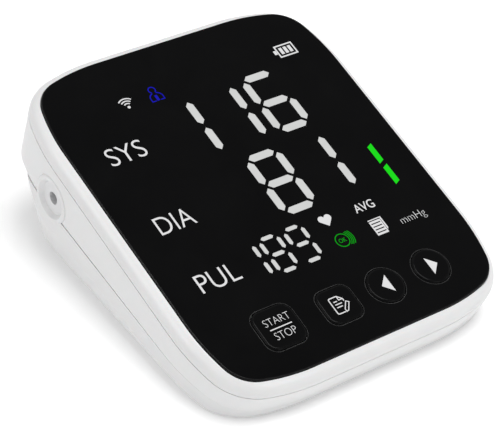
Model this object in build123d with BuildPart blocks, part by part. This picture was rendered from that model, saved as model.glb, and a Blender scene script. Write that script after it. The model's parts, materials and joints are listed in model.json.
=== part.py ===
"""Upper arm blood pressure monitor: a desk-top case with a sloping display face,
four keys, an air port on its left side, and the pump, valve, board and cells inside.

Frame: millimetres, +X to the user's right, +Y to the rear, +Z up.
Origin: middle of the footprint, on the table.
Face coordinates: x to the right, y up the slope, depth into the case, from the face's middle.
"""
from build123d import *
import math
import os

os.makedirs("parts", exist_ok=True)

# ---------------------------------------------------------------- driving dimensions
PANEL_WIDTH = 102.8
PANEL_LENGTH = 120.0
CORNER_LEAD_RADIUS = 65.0       # the slow curve that leads in and out of each corner
CORNER_LEAD_TURN = 15.0         # degrees turned on that slow curve
CORNER_TIP_RADIUS = 11.5        # the tighter curve round the corner itself
CASE_CORNER_SOFTER = 1.8        # extra radius at the corners of the case
FACE_TILT = 16.8                # degrees that the face slopes towards the user
FACE_HEIGHT = 32.5              # middle of the face above the table
FACE_SHIFT = -3.48              # puts the middle of the footprint on the origin

RIM_WIDTH = 3.4                 # rounded white rim outside the panel
WALL = 2.0
SEAM_DEPTH = 4.7                # line between the two halves of the case
SEAM_GAP = 0.3
TONGUE_WIDTH = 0.9
TONGUE_HEIGHT = 1.4
FIT_GAP = 0.1                   # between the tongue and the skirt round it
CREASE_DEPTH = 17.8             # lower edge of the side band, at the middle
CREASE_TILT = 6.0               # degrees between the face and the lower edge of the band
CREASE_ROUND = 0.8
CREASE_STEP = 0.7               # how far the belly stands in under the band
BAND_DRAFT = 3.0
BELLY_DRAFT = 14.0
BASE_ROUND = 6.0
BASE_FRONT_OUT = 2.25           # front of the base, out from under the panel's front edge
BASE_REAR_IN = 7.75
BASE_FRONT_WIDER = 3.2          # each side, against the panel
BASE_REAR_NARROWER = 1.6
BASE_FRONT_CORNER = 12.0
BASE_REAR_CORNER = 20.0

PANEL_THICKNESS = 1.2
PANEL_PROUD = 0.4
PANEL_GAP = 0.15
PANEL_EDGE = 0.35
ADHESIVE_THICKNESS = 0.2
ADHESIVE_MARGIN = 1.0
DECK_THICKNESS = 1.6            # plate of the top cover that carries the panel

KEY_GAP = 0.2
KEY_PROUD = 0.5                 # above the panel
KEY_EDGE = 0.8
KEY_TRAVEL = 0.6
KEY_FLANGE = 1.0
KEY_FLANGE_THICKNESS = 1.0
KEY_REST_GAP = 0.05
KEY_STEM_RADIUS = 1.5
# name: x, y, width, height, corner radius (None for a round key)
KEYS = {
    "start_stop": (-26.7, -44.9, 14.5, 14.3, 3.9),
    "memory": (-5.4, -45.8, 12.8, 12.5, 3.5),
    "back": (12.1, -45.9, 12.7, 12.7, None),
    "forward": (29.6, -45.9, 12.7, 12.7, None),
}

BOARD_DEPTH = 7.6               # top of the circuit board
BOARD_THICKNESS = 1.2
BOARD_SIDE_IN = 2.4             # edges of the board, in from the panel's
BOARD_FRONT_IN = 8.0
BOARD_REAR_IN = 2.5
BOARD_CORNER = 12.0
SWITCH_SIZE = 6.0
SWITCH_HEIGHT = 2.6
PLUNGER_RADIUS = 1.6
PLUNGER_LENGTH = 1.9
PLUNGER_PROUD = 1.0             # above the switch body
PLUNGER_CLEARANCE = 0.08

DISPLAY_HALF_WIDTH = 41.2
DISPLAY_FRONT = -32.5
DISPLAY_REAR = 49.5
DISPLAY_GAP = 0.3
DIFFUSER_THICKNESS = 0.8
LED_LENGTH = 1.2
LED_WIDTH = 0.96
LED_HEIGHT = 0.6
# bar thickness, upright bar, level bar, column spacing, row spacing
LARGE_DIGIT = (2.57, 9.0, 9.5, 10.84, 10.6)
SMALL_DIGIT = (1.33, 4.33, 4.5, 6.3, 6.13)
# middle of each digit: x, y, style
DIGITS = (
    [(x, 26.1, LARGE_DIGIT) for x in (-10.9, 5.3, 21.5)]
    + [(x, -1.0, LARGE_DIGIT) for x in (-11.6, 4.6, 20.8)]
    + [(x, -23.2, SMALL_DIGIT) for x in (-20.7, -11.7, -2.7)]
)

# x, y, width, length, height
CHIPS = {
    "microcontroller": (-33.0, 0.0, 10.0, 10.0, 1.2),
    "wireless_module": (33.0, -8.0, 12.0, 16.0, 2.2),
}
CHIP_EDGE = 0.3
BUZZER_POINT = (33.0, 38.0)
BUZZER_RADIUS = 6.0
BUZZER_HEIGHT = 4.5
BUZZER_EDGE = 0.5
BUZZER_HOLE_RADIUS = 1.0
BUZZER_HOLE_DEPTH = 2.0
SENSOR_SIZE = 7.0
SENSOR_HEIGHT = 4.0

BOARD_SCREW_POINTS = ((-45.5, -36.0), (45.5, -36.0), (-38.0, 54.0), (38.0, 54.0))
CASE_SCREW_POINTS = ((-44.4, -30.0), (44.4, -30.0), (-44.4, 14.0), (44.4, 14.0))
BOSS_RADIUS = 2.6
BOARD_SCREW_RADIUS = 0.8
BOARD_SCREW_LENGTH = 5.0
CASE_SCREW_RADIUS = 1.0
CASE_SCREW_GRIP = 3.0           # post between the screw head and the boss above
CASE_SCREW_BITE = 5.0           # length of thread in the boss
CASE_HEAD_RADIUS = 2.2
CASE_HEAD_HEIGHT = 1.5
BOARD_HEAD_RADIUS = 1.7
BOARD_HEAD_HEIGHT = 1.1
CASE_CROSS_WIDTH = 0.5
BOARD_CROSS_WIDTH = 0.4
CROSS_SPAN = 1.3                # of the head's radius
CROSS_DEPTH = 0.6               # of the head's height
THREAD_CLEARANCE = 0.05
HOLE_CLEARANCE = 0.3
CASE_BOSS_DEPTH = 9.6           # where boss and post meet
POST_RADIUS = 3.6

FOOT_RADIUS = 5.0
FOOT_PROUD = 0.8
FOOT_SUNK = 1.0
FOOT_POINTS = ((-36.0, -45.0), (36.0, -45.0), (-36.0, 36.0), (36.0, 36.0))

CELL_RADIUS = 5.25
CELL_LENGTH = 44.5
CELL_COUNT = 4
CELL_PITCH = 11.0
CELL_NUB_RADIUS = 1.9
CELL_NUB_LENGTH = 1.0
BAY_MARGIN = 0.2
BAY_SPARE_LENGTH = 4.7          # room for the springs and contact plates
BAY_CENTRE_Y = -0.1
BAY_LEDGE = 0.35                # wall left beside the door pocket
BAY_ROOF = 1.2
CONTACT_THICKNESS = 0.4
CONTACT_WIDTH = 8.0
CONTACT_HEIGHT = 5.6
SPRING_WIRE_RADIUS = 0.3
SPRING_PITCH = 1.1
SPRING_WIDE_RADIUS = 2.4
SPRING_END_GAP = 0.02           # between a spring and what it presses on
DOOR_THICKNESS = 1.6
DOOR_HINGE_ROUND = 0.79         # just under half its thickness
DOOR_LAP = 1.2                  # how far the door covers the edge of the bay
DOOR_GAP = 0.25
DOOR_TAB_WIDTH = 8.0
DOOR_TAB_SPACING = 28.0
DOOR_TAB_REACH = 1.3
DOOR_TAB_THICKNESS = 0.8
DOOR_TAB_GAP = 0.1
TAB_SLOT_GAP = 0.3
TAB_SWING = 1.5                 # how far its corner rises as the door turns, in tab heights
CELL_REST = 0.6                 # height of the ribs on the door under the cells
RIB_WIDTH = 1.2
LATCH_WIDTH = 12.0
LATCH_SLOT = 0.8
LATCH_LENGTH = 7.0
THUMB_RADIUS = 8.0
THUMB_DEPTH = 1.2

PORT_Y = 29.8                   # in face coordinates
PORT_DEPTH = 16.1
PORT_BOSS_RADIUS = 7.85
PORT_RIM_RADIUS = 6.4
PORT_DISH = 1.2
PORT_DISH_SLOPE = 45.0
SOCKET_RADIUS = 5.0
SOCKET_BORE = 2.05
SOCKET_BORE_LENGTH = 9.0
SOCKET_FLANGE = 3.0
SOCKET_BARREL_RADIUS = 3.8
SOCKET_LENGTH = 11.0

NIPPLE_RADIUS = 1.2
NIPPLE_BORE = 0.6
NIPPLE_LENGTH = 3.5
TUBE_RADIUS = 2.2
TUBE_BEND = 4.0
TUBE_RUN_IN = 5.6               # between the last bend and the manifold
TUBE_LAP = 2.5                  # length of tube pushed over a nipple

PUMP_Y = 37.6                   # pump axis, in face coordinates
PUMP_DEPTH = 28.2
MOTOR_X = 8.0                   # front face of the motor
MOTOR_RADIUS = 12.0
MOTOR_LENGTH = 28.0
MOTOR_EDGE = 1.0
PUMP_BODY_SIZE = 21.0
PUMP_BODY_LENGTH = 12.0
PUMP_CORNER = 4.0
PUMP_CAVITY_RADIUS = 9.0
DIAPHRAGM_THICKNESS = 0.8
PUMP_HEAD_LENGTH = 5.2
SHAFT_RADIUS = 1.0
SHAFT_CLEARANCE = 0.05
SHAFT_IN_MOTOR = 6.0
SHAFT_END_GAP = 0.2
CRANK_RADIUS = 5.0
CRANK_THICKNESS = 4.0
CRANK_OFFSET = 2.4
CRANK_PIN_LENGTH = 2.5
CRANK_X = 3.0                   # face of the crank next to the motor
SADDLE_GAP = 0.05
SADDLE_HALF_WIDTH = 5.5
SADDLE_LENGTH = 16.8

MANIFOLD_X = -21.0
MANIFOLD_SIZE = 6.0
MANIFOLD_EDGE = 1.0
VALVE_SIZE = 11.0
VALVE_NEAR_X = -32.0
VALVE_WALL = 1.0
COIL_RADIUS = 4.2
VALVE_PIN_RADIUS = 1.5
VALVE_PIN_CLEARANCE = 0.08
VALVE_TRAVEL = 0.8
VALVE_HEAD_RADIUS = 2.6
VALVE_HEAD_HEIGHT = 0.8
VALVE_PIN_END_GAP = 0.2
VALVE_SPRING_WIRE = 0.25
VALVE_SPRING_LENGTH = 3.0
VALVE_SPRING_PITCH = 0.9
VALVE_SPRING_CLEARANCE = 0.2

USB_X = 20.0
USB_WIDTH = 8.9
USB_HEIGHT = 3.2
USB_LENGTH = 7.4
USB_SINK = 1.2                  # mouth of the socket behind the outer wall
USB_SHELL = 0.35
USB_CORNER = 1.28
USB_BACK_THICKNESS = 1.0
USB_TONGUE_WIDTH = 6.2
USB_TONGUE_THICKNESS = 0.7
USB_TONGUE_SINK = 0.8

# ---------------------------------------------------------------- worked-out places
SIN_TILT = math.sin(math.radians(FACE_TILT))
COS_TILT = math.cos(math.radians(FACE_TILT))
LEAN = math.radians(FACE_TILT - CREASE_TILT)
FACE = Plane(origin=(0, FACE_SHIFT, FACE_HEIGHT), x_dir=(1, 0, 0), z_dir=(0, -SIN_TILT, COS_TILT))
FACE_AXIS = Axis(FACE.origin, FACE.z_dir)
CREASE = Plane(
    origin=FACE.offset(-CREASE_DEPTH).origin,
    x_dir=(1, 0, 0),
    z_dir=(0, -math.sin(LEAN), math.cos(LEAN)),
)
BASE_Z = FOOT_PROUD
BASE_FRONT = -PANEL_LENGTH / 2 - BASE_FRONT_OUT
BASE_REAR = PANEL_LENGTH / 2 - BASE_REAR_IN
BASE_FRONT_HALF_WIDTH = PANEL_WIDTH / 2 + BASE_FRONT_WIDER
BASE_REAR_HALF_WIDTH = PANEL_WIDTH / 2 - BASE_REAR_NARROWER
BOARD_HALF_WIDTH = PANEL_WIDTH / 2 - BOARD_SIDE_IN
BOARD_FRONT = BOARD_FRONT_IN - PANEL_LENGTH / 2
BOARD_REAR = PANEL_LENGTH / 2 - BOARD_REAR_IN
RECESS_DEPTH = PANEL_THICKNESS + ADHESIVE_THICKNESS - PANEL_PROUD
DECK_DEPTH = RECESS_DEPTH + DECK_THICKNESS
RIM_ROUND = SEAM_DEPTH - SEAM_GAP
BOARD_BACK = BOARD_DEPTH + BOARD_THICKNESS
KEY_FLANGE_DEPTH = DECK_DEPTH + KEY_REST_GAP
PLUNGER_TOP = BOARD_DEPTH - SWITCH_HEIGHT - PLUNGER_PROUD
CASE_SEAT_DEPTH = CASE_BOSS_DEPTH + CASE_SCREW_GRIP
BAY_HALF_WIDTH = CELL_COUNT * CELL_PITCH / 2 + BAY_MARGIN
BAY_HALF_LENGTH = (CELL_LENGTH + BAY_SPARE_LENGTH) / 2
DOOR_TOP = BASE_Z + DOOR_THICKNESS
CELL_Z = DOOR_TOP + CELL_REST + CELL_RADIUS
BAY_WALL = DOOR_LAP + DOOR_GAP + BAY_LEDGE
BAY_FRONT = BAY_CENTRE_Y - BAY_HALF_LENGTH
BAY_REAR = BAY_CENTRE_Y + BAY_HALF_LENGTH
CELL_XS = [(i - (CELL_COUNT - 1) / 2) * CELL_PITCH for i in range(CELL_COUNT)]
BAY_TOP = CELL_Z + CELL_RADIUS + BAY_MARGIN
DOOR_HALF_WIDTH = BAY_HALF_WIDTH + DOOR_LAP
DOOR_FRONT = BAY_FRONT - DOOR_LAP
DOOR_REAR = BAY_REAR + DOOR_LAP
HINGE_Y = DOOR_FRONT + DOOR_THICKNESS / 2
HINGE_Z = BASE_Z + DOOR_THICKNESS / 2
TAB_BOTTOM = BASE_Z + WALL + DOOR_TAB_GAP
TAB_TOP = TAB_BOTTOM + DOOR_TAB_THICKNESS
TAB_SLOT_TOP = HINGE_Z + TAB_SWING * (TAB_TOP - HINGE_Z) + TAB_SLOT_GAP
SIDE_X = PANEL_WIDTH / 2 + RIM_WIDTH
SPARE_HEIGHT = PANEL_LENGTH / 4    # what the sloping crease then trims off
RIGHT_THROUGH = 3 * PANEL_LENGTH   # longer than the whole case
PUMP_AXIS = FACE.from_local_coords((0, PUMP_Y, -PUMP_DEPTH))


def save(piece, label):
    """Name a finished piece and write it to its own file."""
    piece.part.label = label
    export_step(piece.part, f"parts/{label}.step")


def face_outline(grow, softer=0.0):
    """The rounded outline of the face, every edge moved out by grow, its corners softer by a radius."""
    lead = CORNER_LEAD_RADIUS + grow
    tip = CORNER_TIP_RADIUS + grow + softer
    turn = math.radians(CORNER_LEAD_TURN)
    reach = lead * (math.sin(turn) + 1 - math.cos(turn)) + tip * (math.cos(turn) - math.sin(turn))
    half_width = PANEL_WIDTH / 2 + grow
    half_length = PANEL_LENGTH / 2 + grow
    across_length = 2 * (half_width - reach)
    along_length = 2 * (half_length - reach)
    with BuildSketch(mode=Mode.PRIVATE) as outline:
        with BuildLine():
            side = Line((half_width, reach - half_length), (half_width, half_length - reach))
            for next_length in (across_length, along_length, across_length, 0):
                lead_in = JernArc(side @ 1, side % 1, lead, CORNER_LEAD_TURN)
                corner = JernArc(lead_in @ 1, lead_in % 1, tip, 90 - 2 * CORNER_LEAD_TURN)
                lead_out = JernArc(corner @ 1, corner % 1, lead, CORNER_LEAD_TURN)
                if next_length:
                    side = Line(lead_out @ 1, lead_out @ 1 + (lead_out % 1) * next_length)
        make_face()
    return outline.sketch


def case_outline(inset):
    """The outline of the case at the seam, moved in by inset."""
    return face_outline(RIM_WIDTH - inset, CASE_CORNER_SOFTER)


def key_outline(name, grow):
    """The outline of one key, every edge moved out by grow."""
    x, y, width, height, corner = KEYS[name]
    with BuildSketch(mode=Mode.PRIVATE) as outline:
        with Locations((x, y)):
            if corner is None:
                Circle(width / 2 + grow)
            else:
                RectangleRounded(width + 2 * grow, height + 2 * grow, corner + grow)
    return outline.sketch


def across(x, y, depth):
    """A plane square to the X axis, through a point in face coordinates."""
    return Plane(origin=FACE.from_local_coords((x, y, -depth)), x_dir=FACE.y_dir, z_dir=(1, 0, 0))


# ---------------------------------------------------------------- outer shape of the lower case
def band_form(inset):
    """The upright side band under the seam, down to the crease, moved in by inset."""
    with BuildPart() as form:
        with BuildSketch(FACE.offset(-SEAM_DEPTH - SEAM_GAP / 2)):
            add(case_outline(inset))
        extrude(amount=-(CREASE_DEPTH + SPARE_HEIGHT), taper=BAND_DRAFT)
        split(bisect_by=CREASE.offset(inset), keep=Keep.TOP)
        if inset == 0:
            lower_face = form.faces().sort_by(Axis(CREASE.origin, CREASE.z_dir))[0]
            fillet(lower_face.edges(), CREASE_ROUND)
    return form.part


def belly_form(inset):
    """The tapered belly that stands on the table, from the base up to the crease."""
    draft_angle = math.radians(BELLY_DRAFT)
    shrink = inset * (1 - math.sin(draft_angle)) / math.cos(draft_angle)
    with BuildPart() as form:
        with BuildSketch(Plane.XY.offset(BASE_Z + inset)) as base:
            with BuildLine():
                Polyline(
                    (-BASE_FRONT_HALF_WIDTH, BASE_FRONT),
                    (BASE_FRONT_HALF_WIDTH, BASE_FRONT),
                    (BASE_REAR_HALF_WIDTH, BASE_REAR),
                    (-BASE_REAR_HALF_WIDTH, BASE_REAR),
                    close=True,
                )
            make_face()
            fillet(base.vertices().group_by(Axis.Y)[0], BASE_FRONT_CORNER)
            fillet(base.vertices().group_by(Axis.Y)[-1], BASE_REAR_CORNER)
            if inset:
                offset(amount=-shrink)
        extrude(amount=FACE_HEIGHT + SPARE_HEIGHT, taper=-BELLY_DRAFT)
        fillet(form.faces().sort_by(Axis.Z)[0].edges(), BASE_ROUND - inset)
        with BuildSketch(FACE.offset(FACE_HEIGHT)):
            add(case_outline(CREASE_STEP + inset))
        extrude(amount=-RIGHT_THROUGH, mode=Mode.INTERSECT)
        split(bisect_by=CREASE.offset(inset), keep=Keep.BOTTOM)
    return form.part


def lower_form(inset):
    """Band and belly as one solid."""
    with BuildPart() as form:
        add(band_form(inset))
        add(belly_form(inset))
    return form.part


# ---------------------------------------------------------------- top cover
with BuildPart() as top_cover:
    with BuildSketch(FACE.offset(-SEAM_DEPTH + SEAM_GAP / 2)):
        add(case_outline(0))
    extrude(amount=SEAM_DEPTH - SEAM_GAP / 2)
    fillet(top_cover.faces().sort_by(FACE_AXIS)[-1].edges(), RIM_ROUND)
    # recess that takes the panel
    with BuildSketch(FACE.offset(-RECESS_DEPTH)):
        add(face_outline(PANEL_GAP))
    extrude(amount=RECESS_DEPTH, mode=Mode.SUBTRACT)
    # hollow under the deck, and the rebate for the tongue of the lower case
    with BuildSketch(FACE.offset(-SEAM_DEPTH)):
        add(case_outline(WALL))
    extrude(amount=SEAM_DEPTH - DECK_DEPTH, mode=Mode.SUBTRACT)
    with BuildSketch(FACE.offset(-SEAM_DEPTH)):
        add(case_outline(WALL - TONGUE_WIDTH - FIT_GAP))
    extrude(amount=TONGUE_HEIGHT + FIT_GAP, mode=Mode.SUBTRACT)
    # bosses for the board screws and the case screws
    with BuildSketch(FACE.offset(-BOARD_DEPTH)):
        with Locations(*BOARD_SCREW_POINTS):
            Circle(BOSS_RADIUS)
    extrude(amount=BOARD_DEPTH - DECK_DEPTH)
    with BuildSketch(FACE.offset(-CASE_BOSS_DEPTH)):
        with Locations(*CASE_SCREW_POINTS):
            Circle(BOSS_RADIUS)
    extrude(amount=CASE_BOSS_DEPTH - DECK_DEPTH)
    with BuildSketch(FACE.offset(-BOARD_DEPTH)):
        with Locations(*BOARD_SCREW_POINTS):
            Circle(BOARD_SCREW_RADIUS + THREAD_CLEARANCE)
    extrude(amount=BOARD_DEPTH - DECK_DEPTH, mode=Mode.SUBTRACT)
    with BuildSketch(FACE.offset(-CASE_BOSS_DEPTH)):
        with Locations(*CASE_SCREW_POINTS):
            Circle(CASE_SCREW_RADIUS + THREAD_CLEARANCE)
    extrude(amount=CASE_BOSS_DEPTH - DECK_DEPTH, mode=Mode.SUBTRACT)
    # windows in the deck for the display and the keys
    with BuildSketch(FACE.offset(-DECK_DEPTH)):
        with Locations((0, (DISPLAY_FRONT + DISPLAY_REAR) / 2)):
            Rectangle(
                2 * (DISPLAY_HALF_WIDTH + DISPLAY_GAP),
                DISPLAY_REAR - DISPLAY_FRONT + 2 * DISPLAY_GAP,
            )
        for key_name in KEYS:
            add(key_outline(key_name, 0))
    extrude(amount=DECK_THICKNESS, mode=Mode.SUBTRACT)
save(top_cover, "top_cover")

# ---------------------------------------------------------------- front panel and its adhesive
with BuildPart() as front_panel:
    with BuildSketch(FACE.offset(PANEL_PROUD)):
        add(face_outline(0))
    extrude(amount=-PANEL_THICKNESS)
    fillet(front_panel.faces().sort_by(FACE_AXIS)[-1].edges(), PANEL_EDGE)
    with BuildSketch(FACE.offset(PANEL_PROUD)):
        for key_name in KEYS:
            add(key_outline(key_name, 0))
    extrude(amount=-PANEL_THICKNESS, mode=Mode.SUBTRACT)
save(front_panel, "front_panel")

with BuildPart() as panel_adhesive:
    with BuildSketch(FACE.offset(-RECESS_DEPTH)):
        add(face_outline(-ADHESIVE_MARGIN))
        with Locations((0, (DISPLAY_FRONT + DISPLAY_REAR) / 2)):
            Rectangle(
                2 * (DISPLAY_HALF_WIDTH + DISPLAY_GAP),
                DISPLAY_REAR - DISPLAY_FRONT + 2 * DISPLAY_GAP,
                mode=Mode.SUBTRACT,
            )
        for key_name in KEYS:
            add(key_outline(key_name, ADHESIVE_MARGIN), mode=Mode.SUBTRACT)
    extrude(amount=ADHESIVE_THICKNESS)
save(panel_adhesive, "panel_adhesive")

# ---------------------------------------------------------------- keys and their switches
for key_name in KEYS:
    key_x, key_y = KEYS[key_name][:2]
    with BuildPart() as key_cap:
        with BuildSketch(FACE.offset(PANEL_PROUD + KEY_PROUD)):
            add(key_outline(key_name, -KEY_GAP))
        extrude(amount=-(PANEL_PROUD + KEY_PROUD + KEY_FLANGE_DEPTH))
        fillet(key_cap.faces().sort_by(FACE_AXIS)[-1].edges(), KEY_EDGE)
        with BuildSketch(FACE.offset(-KEY_FLANGE_DEPTH)):
            add(key_outline(key_name, KEY_FLANGE))
        extrude(amount=-KEY_FLANGE_THICKNESS)
        with BuildSketch(FACE.offset(-PLUNGER_TOP)):
            with Locations((key_x, key_y)):
                Circle(KEY_STEM_RADIUS)
        extrude(amount=PLUNGER_TOP - KEY_FLANGE_DEPTH)
    save(key_cap, f"{key_name}_button")

    with BuildPart() as plunger:
        with BuildSketch(FACE.offset(-PLUNGER_TOP)):
            with Locations((key_x, key_y)):
                Circle(PLUNGER_RADIUS)
        extrude(amount=-PLUNGER_LENGTH)
    save(plunger, f"{key_name}_plunger")

with BuildPart() as switch_bodies:
    with BuildSketch(FACE.offset(-BOARD_DEPTH)):
        with Locations(*[key[:2] for key in KEYS.values()]):
            Rectangle(SWITCH_SIZE, SWITCH_SIZE)
    extrude(amount=SWITCH_HEIGHT)
    with BuildSketch(FACE.offset(-BOARD_DEPTH + SWITCH_HEIGHT)):
        with Locations(*[key[:2] for key in KEYS.values()]):
            Circle(PLUNGER_RADIUS + PLUNGER_CLEARANCE)
    extrude(amount=-(PLUNGER_LENGTH + KEY_TRAVEL), mode=Mode.SUBTRACT)
save(switch_bodies, "switch_bodies")


# ---------------------------------------------------------------- numeric display
def digit_bars():
    """All the bars of all the digits: seven pointed bars to a digit."""
    with BuildSketch(mode=Mode.PRIVATE) as bars:
        for x, y, (thick, upright, level, column, row) in DIGITS:
            places = [(dx * column / 2, dy * row / 2, upright, 90) for dx in (-1, 1) for dy in (-1, 1)]
            places += [(0, dy * row, level, 0) for dy in (-1, 0, 1)]
            for dx, dy, length, turn in places:
                half = length / 2
                tip = thick / 2
                with Locations((x + dx, y + dy)):
                    Polygon(
                        (-half, 0),
                        (tip - half, -tip),
                        (half - tip, -tip),
                        (half, 0),
                        (half - tip, tip),
                        (tip - half, tip),
                        rotation=turn,
                        align=None,
                    )
    return bars.sketch


bar_shapes = digit_bars()
reflector_top = RECESS_DEPTH - ADHESIVE_THICKNESS

with BuildPart() as display_reflector:
    with BuildSketch(FACE.offset(-reflector_top)):
        with Locations((0, (DISPLAY_FRONT + DISPLAY_REAR) / 2)):
            Rectangle(2 * DISPLAY_HALF_WIDTH, DISPLAY_REAR - DISPLAY_FRONT)
    extrude(amount=-(BOARD_DEPTH - reflector_top))
    with BuildSketch(FACE.offset(-reflector_top)):
        add(bar_shapes)
    extrude(amount=-(BOARD_DEPTH - reflector_top), mode=Mode.SUBTRACT)
save(display_reflector, "display_reflector")

with BuildPart() as display_diffusers:
    with BuildSketch(FACE.offset(-reflector_top)):
        add(bar_shapes)
    extrude(amount=-DIFFUSER_THICKNESS)
save(display_diffusers, "display_diffusers")

with BuildPart() as display_leds:
    with BuildSketch(FACE.offset(-BOARD_DEPTH)):
        for x, y, (thick, upright, level, column, row) in DIGITS:
            with Locations((x, y)):
                with Locations(*[(dx * column / 2, dy * row / 2) for dx in (-1, 1) for dy in (-1, 1)]):
                    Rectangle(LED_WIDTH, LED_LENGTH)
                with Locations(*[(0, dy * row) for dy in (-1, 0, 1)]):
                    Rectangle(LED_LENGTH, LED_WIDTH)
    extrude(amount=LED_HEIGHT)
save(display_leds, "display_leds")

# ---------------------------------------------------------------- circuit board and what it carries
with BuildPart() as main_board:
    with BuildSketch(FACE.offset(-BOARD_DEPTH)):
        with Locations((0, (BOARD_FRONT + BOARD_REAR) / 2)):
            RectangleRounded(2 * BOARD_HALF_WIDTH, BOARD_REAR - BOARD_FRONT, BOARD_CORNER)
        with Locations(*BOARD_SCREW_POINTS):
            Circle(BOARD_SCREW_RADIUS + HOLE_CLEARANCE, mode=Mode.SUBTRACT)
        with Locations(*CASE_SCREW_POINTS):
            Circle(BOSS_RADIUS + HOLE_CLEARANCE, mode=Mode.SUBTRACT)
    extrude(amount=-BOARD_THICKNESS)
save(main_board, "main_board")

with BuildPart() as board_screws:
    with BuildSketch(FACE.offset(-BOARD_BACK - BOARD_HEAD_HEIGHT)):
        with Locations(*BOARD_SCREW_POINTS):
            Circle(BOARD_HEAD_RADIUS)
    extrude(amount=BOARD_HEAD_HEIGHT)
    with BuildSketch(FACE.offset(-BOARD_BACK)):
        with Locations(*BOARD_SCREW_POINTS):
            Circle(BOARD_SCREW_RADIUS)
    extrude(amount=BOARD_SCREW_LENGTH)
    with BuildSketch(FACE.offset(-BOARD_BACK - BOARD_HEAD_HEIGHT)):
        with Locations(*BOARD_SCREW_POINTS):
            Rectangle(BOARD_HEAD_RADIUS * CROSS_SPAN, BOARD_CROSS_WIDTH)
            Rectangle(BOARD_CROSS_WIDTH, BOARD_HEAD_RADIUS * CROSS_SPAN)
    extrude(amount=BOARD_HEAD_HEIGHT * CROSS_DEPTH, mode=Mode.SUBTRACT)
save(board_screws, "board_screws")

for chip_name, (x, y, chip_width, chip_length, chip_height) in CHIPS.items():
    with BuildPart() as chip:
        with BuildSketch(FACE.offset(-BOARD_BACK)):
            with Locations((x, y)):
                Rectangle(chip_width, chip_length)
        extrude(amount=-chip_height)
        chamfer(chip.faces().sort_by(FACE_AXIS)[0].edges(), CHIP_EDGE)
    save(chip, chip_name)

with BuildPart() as buzzer:
    with BuildSketch(FACE.offset(-BOARD_BACK)):
        with Locations(BUZZER_POINT):
            Circle(BUZZER_RADIUS)
    extrude(amount=-BUZZER_HEIGHT)
    fillet(buzzer.faces().sort_by(FACE_AXIS)[0].edges(), BUZZER_EDGE)
    with BuildSketch(FACE.offset(-BOARD_BACK - BUZZER_HEIGHT)):
        with Locations(BUZZER_POINT):
            Circle(BUZZER_HOLE_RADIUS)
    extrude(amount=BUZZER_HOLE_DEPTH, mode=Mode.SUBTRACT)
save(buzzer, "buzzer")

with BuildPart() as pressure_sensor:
    with BuildSketch(FACE.offset(-BOARD_BACK)):
        with Locations((MANIFOLD_X, PUMP_Y)):
            Rectangle(SENSOR_SIZE, SENSOR_SIZE)
    extrude(amount=-SENSOR_HEIGHT)
    with BuildSketch(FACE.offset(-BOARD_BACK - SENSOR_HEIGHT)):
        with Locations((MANIFOLD_X, PUMP_Y)):
            Circle(NIPPLE_RADIUS)
    extrude(amount=-NIPPLE_LENGTH)
    with BuildSketch(FACE.offset(-BOARD_BACK - SENSOR_HEIGHT - NIPPLE_LENGTH)):
        with Locations((MANIFOLD_X, PUMP_Y)):
            Circle(NIPPLE_BORE)
    extrude(amount=NIPPLE_LENGTH + SENSOR_HEIGHT / 2, mode=Mode.SUBTRACT)
save(pressure_sensor, "pressure_sensor")

# ---------------------------------------------------------------- power socket at the rear
usb_mouth_y = PANEL_LENGTH / 2 + RIM_WIDTH - USB_SINK
usb_depth = BOARD_BACK + USB_HEIGHT / 2
usb_plane = Plane(
    origin=FACE.from_local_coords((USB_X, usb_mouth_y, -usb_depth)),
    x_dir=(1, 0, 0),
    z_dir=-FACE.y_dir,
)
with BuildPart() as usb_socket:
    with BuildSketch(usb_plane):
        RectangleRounded(USB_WIDTH, USB_HEIGHT, USB_CORNER)
    extrude(amount=USB_LENGTH)
    with BuildSketch(usb_plane):
        RectangleRounded(USB_WIDTH - 2 * USB_SHELL, USB_HEIGHT - 2 * USB_SHELL, USB_CORNER - USB_SHELL)
    extrude(amount=USB_LENGTH - USB_BACK_THICKNESS, mode=Mode.SUBTRACT)
    with BuildSketch(usb_plane.offset(USB_TONGUE_SINK)):
        Rectangle(USB_TONGUE_WIDTH, USB_TONGUE_THICKNESS)
    extrude(amount=USB_LENGTH - 2 * USB_TONGUE_SINK)
save(usb_socket, "usb_socket")

# ---------------------------------------------------------------- lower case
port_centre = FACE.from_local_coords((-SIDE_X, PORT_Y, -PORT_DEPTH))
port_face_x = -SIDE_X
port_plane = Plane(origin=(port_face_x, port_centre.Y, port_centre.Z), x_dir=(0, 1, 0), z_dir=(1, 0, 0))
case_outside = lower_form(0)
case_inside = lower_form(WALL)

# posts over the case screws, trimmed to the outside of the case
with BuildPart() as screw_posts:
    with BuildSketch(FACE.offset(-CASE_BOSS_DEPTH)):
        with Locations(*CASE_SCREW_POINTS):
            Circle(POST_RADIUS)
    extrude(amount=-RIGHT_THROUGH)
    add(case_outside, mode=Mode.INTERSECT)

# round boss that carries the air socket, level with the side band
with BuildPart() as port_boss:
    with BuildSketch(port_plane):
        Circle(PORT_BOSS_RADIUS)
    extrude(amount=WALL + PORT_DISH)
    fillet(port_boss.edges().group_by(Axis.X)[0], CREASE_ROUND)

# the battery bay is a box open to the table; the door closes it
bay_centre = (0, BAY_CENTRE_Y)
door_centre = (0, (DOOR_FRONT + DOOR_REAR) / 2)
tab_places = [(side * DOOR_TAB_SPACING / 2, HINGE_Y) for side in (-1, 1)]

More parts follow.
